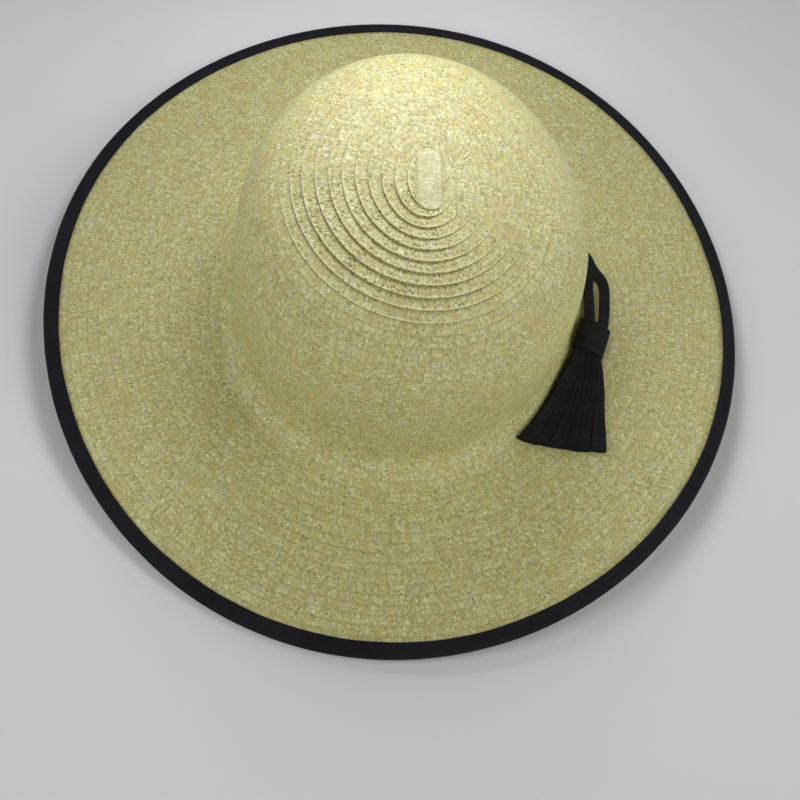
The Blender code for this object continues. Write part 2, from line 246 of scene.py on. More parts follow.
def brim_frame(azimuth, distance):
    """Points on the brim's top face, the direction out along it, and its normal."""
    slope = brim_slope(azimuth)
    arc = HEAD_CURVE * (math.pi / 2 - slope)
    turned = np.minimum(distance, arc) / HEAD_CURVE
    skirt = np.maximum(distance - arc, 0.0)
    reach = HEAD_CURVE * (1.0 - np.cos(turned)) + skirt * np.cos(slope)
    drop = HEAD_CURVE * np.sin(turned) + skirt * np.sin(slope)
    side = outward(azimuth)
    zero = 0.0 * drop
    point = crown_outer(azimuth, zero) + side * reach[..., None] - points_of(zero, zero, drop)
    along = side * np.sin(turned)[..., None] - points_of(zero, zero, np.cos(turned))
    normal = side * np.cos(turned)[..., None] + points_of(zero, zero, np.sin(turned))
    return point, along, normal


rim, _, _ = brim_frame(quarter, BRIM_WIDTH + 0 * quarter)
print("brim edge heights, mm:", np.round(rim[:, 2] * 1000, 1).tolist())

# %% [markdown]
# ## Where each row of braid runs
#
# The braid is bent round so hard at the tip that its first rounds are long ovals, a little turned
# to one side. Every row out adds the same width to the oval, so one rule gives the row of any place
# near the tip, and halving finds it. Further down the rows have to end level on the head line, so
# the rest of each line from tip to head line is shared out evenly. On the brim a row is a fixed
# step outwards. A table with one column for each azimuth and one line for each part of a row then
# tells where any place on the braid lies.

# %% Table of rows
TIP_CENTRE = HEAD_LINE_PLACE[:2] - np.array((TIP_LEAN_RIGHT, TIP_LEAN_FRONT))
OVAL_CENTRE = (-0.0021, 0.0005)
OVAL_DRIFT = -0.00026
OVAL_TURN = 19.6
OVAL_HALF_WIDTH = 0.0009
OVAL_HALF_LENGTH = 0.008
ROW_WIDTH_SIDE = 0.0058
ROW_WIDTH_END = 0.00593
OVAL_ROWS = 9.2
CROWN_ROWS = 28
BRIM_ROWS = 20
COLUMNS = 720
PARTS = 10
HALVINGS = 24
LINE_SAMPLES = 500
LINE_EASE = 1.5
FIRST_PART = 0.001


def tip_row(points):
    """How many rows out from the middle of the tip points are, by halving."""
    cosine, sine = math.cos(math.radians(OVAL_TURN)), math.sin(math.radians(OVAL_TURN))
    x, y = np.moveaxis(points[..., :2] - TIP_CENTRE, -1, 0)
    low, high = 0.0 * x, 0.0 * x + CROWN_ROWS
    for _ in range(HALVINGS):
        row = (low + high) / 2
        aside = np.minimum(row, 1.0)
        u = x - OVAL_CENTRE[0] * aside - OVAL_DRIFT * row
        v = y - OVAL_CENTRE[1] * aside
        across = (u * cosine + v * sine) / (OVAL_HALF_WIDTH + ROW_WIDTH_SIDE * row)
        along = (v * cosine - u * sine) / (OVAL_HALF_LENGTH + ROW_WIDTH_END * row)
        beyond = across ** 2 + along ** 2 > 1.0
        low, high = np.where(beyond, row, low), np.where(beyond, high, row)
    return low


right_of_tip = np.append(TIP_CENTRE + (0.02, 0.0), 0.0)
print("rows between the tip and 20 mm to its right:", round(float(tip_row(right_of_tip)), 2))


# %% Rows on the crown and on the brim
def length_along(points):
    """Length of a line of points, from its first point to each of them."""
    return np.concatenate(([0.0], np.cumsum(np.linalg.norm(np.diff(points, axis=0), axis=1))))


def crown_table(azimuths):
    """Place of each part of a row, from the tip to the head line, for each azimuth."""
    dome = CROWN_HEIGHT + HEAD_CURVE
    foot_turn = math.asin((HEAD_CURVE / dome) ** (TIP_FLATNESS / 2))
    eased = np.linspace(0.0, 1.0, LINE_SAMPLES) ** LINE_EASE
    turn = math.pi / 2 - (math.pi / 2 - foot_turn) * eased
    height = np.maximum(dome * np.sin(turn) ** (2 / TIP_FLATNESS) - HEAD_CURVE, 0.0)
    height[-1] = 0.0
    lines = crown_outer(azimuths[:, None], height)
    ovals = np.maximum.accumulate(tip_row(lines), axis=1)
    wanted = np.maximum(np.arange(CROWN_ROWS * PARTS + 1) / PARTS, FIRST_PART)
    table = []
    for line, near in zip(lines, ovals):
        length = length_along(line)
        start = np.interp(OVAL_ROWS, near, length)
        share = (length - start) / (length[-1] - start)
        level = np.where(length < start, near, OVAL_ROWS + share * (CROWN_ROWS - OVAL_ROWS))
        table.append([np.interp(wanted, level, line[:, axis]) for axis in range(3)])
    return np.array(table).transpose(0, 2, 1)


def brim_table(azimuths):
    """The same for the brim, without its first line, which is the head line."""
    steps = np.arange(1, BRIM_ROWS * PARTS + 1) / (BRIM_ROWS * PARTS)
    return brim_frame(azimuths[:, None] + 0 * steps, BRIM_WIDTH * steps + 0 * azimuths[:, None])[0]


# %% The table of places and the table of directions
azimuths = np.linspace(0.0, 2 * math.pi, COLUMNS, endpoint=False)
place_table = np.concatenate((crown_table(azimuths), brim_table(azimuths)), axis=1)
around = np.roll(place_table, -1, axis=0) - np.roll(place_table, 1, axis=0)
normal_table = unit(np.cross(around, np.gradient(place_table, axis=1)))
normal_table *= np.sign(normal_table[0, 0, 2])
print("rows:", CROWN_ROWS, "on the crown,", BRIM_ROWS, "on the brim")
quarters = place_table[::COLUMNS // 4]
one_row = quarters[:, 20 * PARTS] - quarters[:, 19 * PARTS]
print("crown pitch, mm:", np.round(1000 * np.linalg.norm(one_row, axis=1), 2).tolist())


# %% Read the table between its lines
def read_table(table, azimuth, level):
    """Values of a table at azimuths and row levels, level 0 at the tip."""
    column = (azimuth / (2 * math.pi) * COLUMNS) % COLUMNS
    line = np.clip(level * PARTS, 0.0, table.shape[1] - 1.001)
    c, k = np.floor(column).astype(int), np.floor(line).astype(int)
    c, after = c % COLUMNS, (c + 1) % COLUMNS
    u, v = (column - np.floor(column))[:, None], (line - k)[:, None]
    near = table[c, k] * (1 - u) + table[after, k] * u
    far = table[c, k + 1] * (1 - u) + table[after, k + 1] * u
    return near * (1 - v) + far * v


front = read_table(place_table, np.radians([270.0] * 3), np.array((5.0, 28.0, 48.0)))
print("front, mm, on rows 5, 28 and 48:", np.round(front * 1000, 1).tolist())


# %% [markdown]
# ## Node helpers
#
# Node trees are easier to read as sums than as lists of links. A small class wraps a socket: adding
# or multiplying two of them adds the Math or Vector Math node that does it. Every other node comes
# from one method, which sets the node's own settings first and then its sockets.

# %% A socket to reckon with
class Wire:
    """Output of a node; numbers go through Math nodes and vectors through Vector Math nodes."""

    def __init__(self, nodes, socket):
        self.nodes = nodes
        self.socket = socket

    def is_vector(self):
        return self.socket.type in {"VECTOR", "RGBA"}

    def with_(self, operation, *values):
        """Any other operation of the Math node."""
        return self.nodes.reckon(operation, self, *values)

    def from_middle(self):
        """0 where the value is a half, 1 where it is nothing or one."""
        return (self * 2.0 - 1.0).with_("ABSOLUTE")

    def __add__(self, other):
        return self.nodes.reckon("ADD", self, other)

    def __radd__(self, other):
        return self.nodes.reckon("ADD", other, self)

    def __sub__(self, other):
        return self.nodes.reckon("SUBTRACT", self, other)

    def __rsub__(self, other):
        return self.nodes.reckon("SUBTRACT", other, self)

    def __mul__(self, other):
        return self.nodes.times(self, other)

    def __rmul__(self, other):
        return self.nodes.times(self, other)

    def __truediv__(self, other):
        return self.nodes.reckon("DIVIDE", self, other)

    def __rtruediv__(self, other):
        return self.nodes.reckon("DIVIDE", other, self)


# %% A node tree to add to
class Nodes:
    """A node tree, and the few ways in which this script adds to it."""

    def __init__(self, tree):
        self.tree = tree

    def node(self, kind, settings, sockets):
        """Adds a node: its settings first, then a value or a link for each socket named."""
        node = self.tree.nodes.new(kind)
        for name, value in settings.items():
            setattr(node, name, value)
        for name, value in sockets.items():
            if isinstance(value, Wire):
                self.tree.links.new(value.socket, node.inputs[name])
            else:
                node.inputs[name].default_value = value
        return node

    def wire(self, kind, settings, sockets, output=0):
        """Adds a node and gives one of its outputs."""
        return Wire(self, self.node(kind, settings, sockets).outputs[output])

    def reckon(self, operation, *values):
        """A Math node, or a Vector Math node where a vector comes in."""
        vectors = any(isinstance(value, Wire) and value.is_vector() for value in values)
        kind = "ShaderNodeVectorMath" if vectors else "ShaderNodeMath"
        return self.wire(kind, {"operation": operation}, dict(enumerate(values)))

    def times(self, first, second):
        """A product; a vector times a number is scaled by it."""
        numbers = [v for v in (first, second) if not (isinstance(v, Wire) and v.is_vector())]
        if len(numbers) != 1:
            return self.reckon("MULTIPLY", first, second)
        vector = second if numbers[0] is first else first
        scale = {"operation": "SCALE"}
        return self.wire("ShaderNodeVectorMath", scale, {0: vector, "Scale": numbers[0]})

    def vector(self, *parts):
        """A vector put together from numbers."""
        return self.wire("ShaderNodeCombineXYZ", {}, dict(enumerate(parts)))


print("node helpers:", [name for name in vars(Nodes) if not name.startswith("_")])


# %% [markdown]
# ## One tree that sweeps every strip
#
# Braid, ribbon, loop and fringe are all a cross-section that follows a line. Curve to Mesh does
# that, but on a bent surface it would turn the section its own way. So the tree only uses it to
# join the rings, and then sets each point itself: from the line's own attributes, which say where
# the middle of the strip is, which way its side and its face look, and how far it bows. The
# section's own z says how far a point of it rises with the step between two rows of braid.

# %% Trees with named sizes
def new_tree(name, sizes):
    """An empty Geometry Nodes tree with named sizes, its helper and its input node."""
    group = bpy.data.node_groups.new(name, "GeometryNodeTree")
    group.interface.new_socket("Geometry", in_out="INPUT", socket_type="NodeSocketGeometry")
    group.interface.new_socket("Material", in_out="INPUT", socket_type="NodeSocketMaterial")
    for size, kind in sizes.items():
        group.interface.new_socket(size, in_out="INPUT", socket_type="NodeSocket" + kind)
    group.interface.new_socket("Geometry", in_out="OUTPUT", socket_type="NodeSocketGeometry")
    nodes = Nodes(group)
    start = nodes.node("NodeGroupInput", {}, {})
    given = {socket.name: Wire(nodes, socket) for socket in start.outputs if socket.name}
    return group, nodes, given


def attribute_reader(nodes, kind):
    """A function that reads attributes of one kind in a Geometry Nodes tree."""
    def read(name):
        return nodes.wire("GeometryNodeInputNamedAttribute", {"data_type": kind}, {"Name": name})

    return read


def keep_attribute(nodes, geometry, kind, name, value):
    """Stores a value on the points of the geometry."""
    settings = {"data_type": kind, "domain": "POINT"}
    sockets = {"Geometry": geometry, "Name": name, "Value": value}
    return nodes.wire("GeometryNodeStoreNamedAttribute", settings, sockets)


def finish_tree(nodes, geometry, given):
    """Real geometry with its material, as the tree's result."""
    real = nodes.wire("GeometryNodeRealizeInstances", {}, {"Geometry": geometry})
    clad = nodes.wire(
        "GeometryNodeSetMaterial", {}, {"Geometry": real, "Material": given["Material"]})
    nodes.node("NodeGroupOutput", {}, {"Geometry": clad})


# %% The sweep tree
def sweep_tree():
    """Tree that lays a cross-section along each rail of a mesh."""
    group, nodes, given = new_tree(
        "sweep", {"Profile": "Object", "Width": "Float", "Thickness": "Float"})
    rail = nodes.wire("GeometryNodeMeshToCurve", {}, {"Mesh": given["Geometry"]})
    shape = nodes.wire("GeometryNodeObjectInfo", {}, {"Object": given["Profile"]}, "Geometry")
    ring = nodes.wire("GeometryNodeMeshToCurve", {}, {"Mesh": shape})
    position = nodes.wire("GeometryNodeInputPosition", {}, {})
    ring = keep_attribute(nodes, ring, "FLOAT_VECTOR", "ring", position)
    swept = nodes.wire(
        "GeometryNodeCurveToMesh", {}, {"Curve": rail, "Profile Curve": ring, "Fill Caps": True})
    vector, number = attribute_reader(nodes, "FLOAT_VECTOR"), attribute_reader(nodes, "FLOAT")
    parts = nodes.node("ShaderNodeSeparateXYZ", {}, {"Vector": vector("ring")})
    sideways = Wire(nodes, parts.outputs["X"]) * given["Width"]
    through = Wire(nodes, parts.outputs["Y"]) * given["Thickness"]
    upwards = through + Wire(nodes, parts.outputs["Z"]) * number("step")
    place = (
        vector("spine") + vector("side") * sideways + vector("bow") * (sideways * sideways)
        + vector("face") * upwards
    )
    placed = nodes.wire("GeometryNodeSetPosition", {}, {"Geometry": swept, "Position": place})
    placed = keep_attribute(nodes, placed, "FLOAT", "across", sideways / 2 + 0.5)
    finish_tree(nodes, placed, given)
    return group


sweep = sweep_tree()
print("sweep tree:", len(sweep.nodes), "nodes")


# %% Rails and sections for the sweep
RAIL_VECTORS = ("spine", "side", "bow", "face")
RAIL_NUMBERS = ("along", "step", "strip")


def link(name, mesh):
    """An object for a mesh, in the scene."""
    piece = bpy.data.objects.new(name, mesh)
    bpy.context.scene.collection.objects.link(piece)
    return piece


def store(mesh, name, values):
    """Writes vectors or numbers onto the points of a mesh."""
    kind, field = ("FLOAT_VECTOR", "vector") if values.ndim == 2 else ("FLOAT", "value")
    layer = mesh.attributes.new(name, kind, "POINT")
    layer.data.foreach_set(field, values.astype(np.float32).ravel())


def rail_mesh(name, rails):
    """Lines of points with the attributes that a sweep reads, one line for each strip."""
    mesh = bpy.data.meshes.new(name)
    edges, first = [], 0
    for rail in rails:
        count = len(rail["spine"])
        edges += [(first + i, first + i + 1) for i in range(count - 1)]
        if rail.get("closed"):
            edges.append((first + count - 1, first))
        first += count
    mesh.from_pydata(np.concatenate([rail["spine"] for rail in rails]).tolist(), edges, [])
    for key in RAIL_VECTORS + RAIL_NUMBERS:
        like = "spine" if key in RAIL_VECTORS else "along"
        store(mesh, key, np.concatenate(
            [rail.get(key, np.zeros_like(rail[like])) for rail in rails]))
    return mesh


def profile(name, outline):
    """Closed outline of a cross-section: x across the strip, y through it, z with the step."""
    mesh = bpy.data.meshes.new(name)
    count = len(outline)
    edges = [(i, (i + 1) % count) for i in range(count)]
    mesh.from_pydata([(*point, 0.0)[:3] for point in outline], edges, [])
    return link(name, mesh)


# %% Run a tree, keep a plain mesh
SHARP_ANGLE = 55


def grow(name, source, tree, values):
    """Runs a tree on a source mesh and keeps the result as a plain mesh, facing outwards."""
    maker = link(name + "_maker", source)
    modifier = maker.modifiers.new("grow", "NODES")
    modifier.node_group = tree
    sockets = {
        item.name: item.identifier for item in tree.interface.items_tree if item.in_out == "INPUT"}
    for key, value in values.items():
        modifier[sockets[key]] = value
    bpy.context.view_layer.update()
    evaluated = maker.evaluated_get(bpy.context.evaluated_depsgraph_get())
    mesh = bpy.data.meshes.new_from_object(evaluated)
    mesh.name = name
    bpy.data.objects.remove(maker, do_unlink=True)
    for key in (*RAIL_VECTORS, "ring"):
        if key in mesh.attributes:
            mesh.attributes.remove(mesh.attributes[key])
    work = bmesh.new()
    work.from_mesh(mesh)
    bmesh.ops.recalc_face_normals(work, faces=work.faces)
    work.to_mesh(mesh)
    work.free()
    mesh.shade_smooth()
    mesh.set_sharp_from_angle(angle=math.radians(SHARP_ANGLE))
    mesh.calc_loop_triangles()
    print(name, len(mesh.loop_triangles), "triangles")
    return link(name, mesh)


# %% [markdown]
# ## Straw
#
# The braid is plaited from flat straws, so from close by it is two half rows of short bars laid
# across it, a little bent like a herringbone, with a dark pit here and there where straws cross;
# the dark of the pits and of the gaps between bars is painted shade.
# The bars are about a millimetre wide, so they are left to the material. It reads how far along
# and how far across the braid a point is, so the pattern follows every turn. Random values for
# each bar, mixed with a noise stretched across the braid, give the tone. Straw is a plant: it
# differs from cream to pale green, some bars are tan or ochre, and soft clouds of both lie over the
# whole hat. Where two rows meet there is a broken dark line, partly the joint between straws and
# partly painted shade under the edge above. The edge that lies over the next row is raised by the
# bump and painted lighter, a painted highlight. A class works out where in the weave a point lies,
# and each of its methods gives one of these features.

# %% Sizes and colours of the straw
BAR_PITCH = 0.0012
BAR_SLANT = 0.5
BAR_WANDER = 2.2
BAR_RAGGED = 0.7
SEAM_RAGGED = 0.75
GAP_PART = 0.6
SEAM_PART = 0.3
WANDER_PACE, LINE_PACE, STRAND_PACE, FIBRE_PACE = 500.0, 430.0, 850.0, 9000.0
RAGGED_SCALE, PATCH_SCALE, PATCH_EDGE_SCALE, CLOUD_SCALE = 900.0, 250.0, 420.0, 110.0
SEAM_SEED, WANDER_SEED, PIT_SEED, LINE_SEED, PATCH_SEED, GAP_SEED = 1.0, 1.0, 3.0, 5.0, 7.0, 9.0
PATCH_LENGTH = 0.005
PIT_WIDTH = 0.00036
PIT_LENGTH = 0.00055
PIT_INSET = 0.14
TIP_BRAID = 2.8
STEP_TIP = 0.00115
STEP_WALL = 0.0001
STRAW_RELIEF = 0.00018
STRAW_TONES = (
    (0.0, (0.33, 0.31, 0.08)),
    (0.35, (0.55, 0.535, 0.20)),
    (0.75, (0.74, 0.725, 0.35)),
    (1.0, (0.89, 0.88, 0.53)),
)
STRAW_PATCHES = (
    {"low": 0.94, "high": 0.96, "strength": 0.42, "colour": (0.66, 0.46, 0.17)},
    {"low": 0.87, "high": 0.90, "strength": 0.32, "colour": (0.66, 0.52, 0.24)},
    {"low": 0.78, "high": 0.81, "strength": 0.42, "colour": (0.64, 0.58, 0.12)},
    {"low": 0.09, "high": 0.06, "strength": 0.38, "colour": (0.60, 0.58, 0.42)},
)
STRAW_CLOUDS = (
    {"low": 0.48, "high": 0.64, "strength": 0.42, "colour": (0.62, 0.49, 0.20)},
    {"low": 0.48, "high": 0.32, "strength": 0.24, "colour": (0.60, 0.66, 0.32)},
)
FIBRE_COLOUR = (0.50, 0.48, 0.19)
# Painted shade in the gaps between bars.
GAP_SHADE_COLOUR = (0.29, 0.25, 0.055)
# Painted shade along the row lines, over a real dark joint.
JOINT_AND_SHADE_COLOUR = (0.30, 0.24, 0.06)
# Painted highlight on the lip of each row.
LIP_HIGHLIGHT_COLOUR = (0.90, 0.88, 0.56)
BUTTON_COLOUR = (0.80, 0.79, 0.56)
# Painted shade in the pits.
PIT_SHADE_COLOUR = (0.17, 0.115, 0.02)
print("longest pit, mm:", 1000 * PIT_LENGTH, "on bars of", 1000 * BAR_PITCH)


# %% Short names for the nodes of a material
def opaque(colour):
    """Three numbers as a full colour; a socket stays as it is."""
    return colour if isinstance(colour, Wire) else (*colour, 1.0)


class MaterialNodes(Nodes):
    """The nodes that the materials use again and again."""

    def between(self, value, low, high):
        """0 at low, 1 at high and a soft step between them."""
        settings = {"interpolation_type": "SMOOTHSTEP"}
        ends = {"From Min": low, "From Max": high, "To Min": 0.0, "To Max": 1.0}
        return self.wire("ShaderNodeMapRange", settings, {"Value": value, **ends})

    def ramp(self, value, stops):
        """A colour ramp; each stop is a place and a colour."""
        node = self.node("ShaderNodeValToRGB", {}, {"Fac": value})
        elements = node.color_ramp.elements
        for element, (position, colour) in zip(elements, (stops[0], stops[-1])):
            element.position, element.color = position, opaque(colour)
        for position, colour in stops[1:-1]:
            elements.new(position).color = opaque(colour)
        return Wire(self, node.outputs["Color"])

    def mix(self, share, first, second):
        """A colour between two colours."""
        settings = {"data_type": "RGBA", "clamp_factor": True}
        sockets = {0: share, 6: opaque(first), 7: opaque(second)}
        return self.wire("ShaderNodeMix", settings, sockets, 2)

    def tint(self, colour, value, low, high, strength, other):
        """Another colour laid over one, more of it as a value goes from low to high."""
        return self.mix(self.between(value, low, high) * strength, colour, other)

    def surface(self, name):
        """An attribute of the mesh, as a material reads it."""
        return self.wire("ShaderNodeAttribute", {"attribute_name": name}, {}, "Fac")

    def spot(self):
        """The place of a point in its own piece."""
        return self.wire("ShaderNodeTexCoord", {}, {}, "Object")

    def noise(self, place, scale=1.0, detail=2.0):
        """A soft noise, read at a place."""
        sockets = {"Vector": place, "Scale": scale, "Detail": detail}
        return self.wire("ShaderNodeTexNoise", {}, sockets)

    def random(self, *seeds):
        """A random number for each pair of whole numbers, or for each one."""
        kind = {"noise_dimensions": "2D" if len(seeds) > 1 else "1D"}
        sockets = {"Vector": self.vector(*seeds)} if len(seeds) > 1 else {"W": seeds[0]}
        return self.wire("ShaderNodeTexWhiteNoise", kind, sockets)

    def bump(self, height, distance):
        """A normal bent as if the surface rose by a height times a distance."""
        return self.wire("ShaderNodeBump", {}, {"Height": height, "Distance": distance})


print("material helpers:", [name for name in vars(MaterialNodes) if not name.startswith("_")])


# %% Where a point lies in the weave
class Weave:
    """The bar and the half row that a point of the braid is in, and its place in both."""

    def __init__(self, nodes):
        self.nodes = nodes
        self.spot = nodes.spot()
        self.along, self.across = nodes.surface("along"), nodes.surface("across")
        self.button = nodes.surface("strip")
        self.bend = self.across.from_middle()
        wander = self.run(WANDER_PACE, WANDER_SEED) * BAR_WANDER
        ragged = nodes.noise(self.spot, RAGGED_SCALE) * BAR_RAGGED
        slanted = self.along / BAR_PITCH + self.bend * BAR_SLANT + wander + ragged
        self.bar, self.in_bar = slanted.with_("FLOOR"), slanted.with_("FRACT")
        ragged = (nodes.random(self.bar, SEAM_SEED) - 0.5) * SEAM_RAGGED
        doubled = self.across * 2.0 + ragged
        self.half = doubled.with_("FLOOR")
        self.inside = doubled - self.half
        self.near_tip = nodes.between(self.along, TIP_BRAID, TIP_BRAID * 0.6)
        self.stepped = nodes.between(nodes.surface("step"), 0.0, STEP_TIP * 0.6)

    def run(self, pace, seed):
        """Noise that only changes along the braid."""
        return self.nodes.noise(self.nodes.vector(self.along * pace, seed), detail=1.0)

    def fibre(self):
        """Fine threads in each straw, across the braid."""
        place = self.nodes.vector(self.along * FIBRE_PACE, self.inside * 1.5, self.half)
        return self.nodes.noise(place)

    def relief(self):
        """1 on the back of a bar, less in the gaps beside it; some gaps are nearly closed. It
        shapes the bump and sets where shade is painted in the gaps.
        """
        nodes = self.nodes
        in_gap = 1.0 - nodes.between(1.0 - self.in_bar.from_middle(), 0.0, GAP_PART)
        open_gap = nodes.between(nodes.random(self.bar, self.half + GAP_SEED), 0.0, 1.0)
        off_seam = nodes.between(1.0 - self.inside.from_middle(), 0.0, SEAM_PART)
        return (1.0 - in_gap * (open_gap * 0.8 + 0.2)) * (off_seam * 0.25 + 0.75)

    def joint_and_shade_line(self):
        """Broken dark lines along the middle of the braid and along its edges: partly the joint
        between straws, partly painted shade under the edge above.
        """
        nodes = self.nodes
        line = (self.across * 2.0).with_("FRACT").from_middle()
        line = nodes.between(line, 0.72, 0.98) * (nodes.between(self.bend, 0.3, 0.7) * 0.5 + 0.5)
        return line * nodes.between(self.run(LINE_PACE, LINE_SEED), 0.38, 0.62)

    def lip(self):
        """The thin edge that lies over the next row, plain only where the rows are stepped; it is
        raised by the bump and carries a painted highlight.
        """
        nodes = self.nodes
        edge = nodes.between(self.across, 0.85, 0.93) * nodes.between(self.across, 1.0, 0.96)
        return edge * self.stepped.with_("MAXIMUM", self.near_tip * 0.55)

    def pit(self):
        """Short dark strokes where straws cross, painted shade in small hollows, longer and more of
        them near the tip.
        """
        nodes, near_tip = self.nodes, self.near_tip
        sideways = (self.in_bar - 0.5) * (BAR_PITCH / PIT_WIDTH)
        inwards = (self.inside - PIT_INSET - near_tip * 0.1) * (ROW_WIDTH_SIDE / 2 / PIT_LENGTH)
        inwards = inwards / (near_tip * 1.2 + 1.0)
        pit = nodes.between(sideways * sideways + inwards * inwards, 1.3, 0.3)
        pick = nodes.random(self.bar, self.half + PIT_SEED) + near_tip * 0.22
        deep = nodes.between(pick, 0.55, 0.7) * 0.3 + nodes.between(pick, 0.89, 0.93) * 0.3
        pit = pit * (deep + near_tip * 0.1 + 0.14) * (1.0 - self.button * 0.5)
        return pit * (1.0 - near_tip * (1.0 - self.stepped) * 0.4)


print("features of the weave:", [name for name in vars(Weave) if not name.startswith("_")])


# %% A material to fill
def new_material(name, settings):
    """A material whose shader has its plain values set, with its node helper."""
    material = bpy.data.materials.new(name)
    material.use_nodes = True
    shader = material.node_tree.nodes["Principled BSDF"]
    for key, value in settings.items():
        shader.inputs[key].default_value = value
    return material, MaterialNodes(material.node_tree), shader


def feed(nodes, shader, sockets):
    """Links what varies over the surface to the shader."""
    for name, wire in sockets.items():
        nodes.tree.links.new(wire.socket, shader.inputs[name])


# %% Straw material
def straw_tints(nodes, weave, fibre):
    """Tone of each bar, with patches of other straws and soft clouds over the whole hat."""
    strands = nodes.vector(weave.along * STRAND_PACE, weave.across * 2.6)
    strands = nodes.noise(strands, detail=3.0)
    tone = nodes.random(weave.bar, weave.half) * 0.55 + nodes.between(strands, 0.33, 0.67) * 0.45
    colour = nodes.tint(nodes.ramp(tone, STRAW_TONES), fibre, 0.35, 0.65, 0.2, FIBRE_COLOUR)
    patch = weave.along / PATCH_LENGTH + nodes.noise(weave.spot, PATCH_SCALE) * 1.5
    pick = nodes.random(patch.with_("FLOOR"), PATCH_SEED)
    middle = 1.0 - patch.with_("FRACT").from_middle()
    middle = middle * 0.5 + nodes.noise(weave.spot, PATCH_EDGE_SCALE) * 0.9
    middle = nodes.between(middle, 0.45, 0.9)
    cloud = nodes.noise(weave.spot, CLOUD_SCALE, 3.0)
    for value, share, rows in ((pick, middle, STRAW_PATCHES), (cloud, 1.0, STRAW_CLOUDS)):
        for row in rows:
            strength = share * row["strength"]
            colour = nodes.tint(colour, value, row["low"], row["high"], strength, row["colour"])
    return colour


def straw_material():
    """Straw braid, from its tints, with painted shade in the gaps, along the row lines and in the
    pits, and a painted highlight on the raised edges.
    """
    material, nodes, shader = new_material("straw", {"Specular IOR Level": 0.8})
    weave = Weave(nodes)
    relief, lip, pit, fibre = weave.relief(), weave.lip(), weave.pit(), weave.fibre()
    # Painted shade in the gaps, along the row lines over a real joint, and in the pits; a painted
    # highlight on the lip.
    layers = (
        ((1.0 - relief) * (weave.near_tip * 0.25 + 0.42), GAP_SHADE_COLOUR),
        (weave.joint_and_shade_line() * 0.45, JOINT_AND_SHADE_COLOUR),
        (lip * 0.6, LIP_HIGHLIGHT_COLOUR),
        (weave.button * 0.2, BUTTON_COLOUR),
        (pit, PIT_SHADE_COLOUR),
    )
    colour = straw_tints(nodes, weave, fibre)
    for share, over in layers:
        colour = nodes.mix(share, colour, over)
    height = relief - pit * 0.5 + lip * 0.8 + fibre * 0.2
    feed(nodes, shader, {
        "Base Color": colour,
        "Roughness": 0.68 - relief * 0.15 + pit * 0.3,
        "Normal": nodes.bump(height, STRAW_RELIEF),
    })
    return material


straw = straw_material()
print("straw material:", len(straw.node_tree.nodes), "nodes")

# %% [markdown]
# ## The braid
#
# Each round of the braid lies over the edge of the next one down, so every row ends in a small
# step. The steps are deepest at the front of the tip, where the braid bends hard, and flatten
# towards its back and on the walls. A point of the braid is found by its turn: the inner edge is at
# that many rows from the tip and the outer edge is one row further, and the table gives both. The
# first round widens from nothing to a whole row.

# %% Sizes of the braid and stations along it
BRAID_START = 153.0
BRAID_FIRST = -0.9
BRAID_SHORT = 0.05
BRAID_THICKNESS = 0.0017
BRAID_SECTION = (
    (-1.16, -0.42), (-1.0, -0.03), (-0.85, 0.0), (-0.3, 0.0), (0.3, 0.0), (0.6, 0.0),
    (0.78, 0.02), (0.88, 0.02), (0.95, 0.0), (1.0, -0.05), (1.03, -0.16), (1.0, -0.85),
    (-0.2, -1.0), (-1.0, -1.05),
)
BRAID_LIP = ((0.3, 0.0), (0.6, -0.06), (0.78, 0.1), (0.9, 0.12), (0.98, 0.0))
STATIONS_CROWN = ((0.0, 4.0, 9.0), (0.0013, 0.0024, 0.0034))
STATION_BRIM = 0.0039
STEPPED_ROWS = 9.7
STEPPED_FADE = 1.5
STEPPED_SIDE = 258.0
STEPPED_ROUND = ((0.0, 0.4, 0.75, 0.9), (0.06, 0.25, 0.75, 1.0))
FIRST_STEP = 0.3
FIRST_MIDDLE = 0.2
FACE_MARGINS = (0.3, 0.1)


def station_turns(first, last, spacing):
    """Turns of the braid, in rows, a given distance apart along its middle."""
    dense = np.linspace(first, last, int((last - first) * COLUMNS) + 1)
    around = math.radians(BRAID_START) + 2 * math.pi * dense
    middle = read_table(place_table, around, np.maximum(dense + 0.5, FIRST_MIDDLE))
    steps = np.linalg.norm(np.diff(middle, axis=0), axis=1)
    length = np.concatenate(([0.0], np.cumsum(steps)))
    stations = np.concatenate(([0.0], np.cumsum(steps / spacing(dense[1:]))))
    count = int(stations[-1])
    turns = np.interp(np.linspace(0.0, stations[-1], count), stations, dense)
    return turns, np.interp(turns, dense, length)


print("braid section:", len(BRAID_SECTION), "corners,", 1000 * BRAID_THICKNESS, "mm thick")


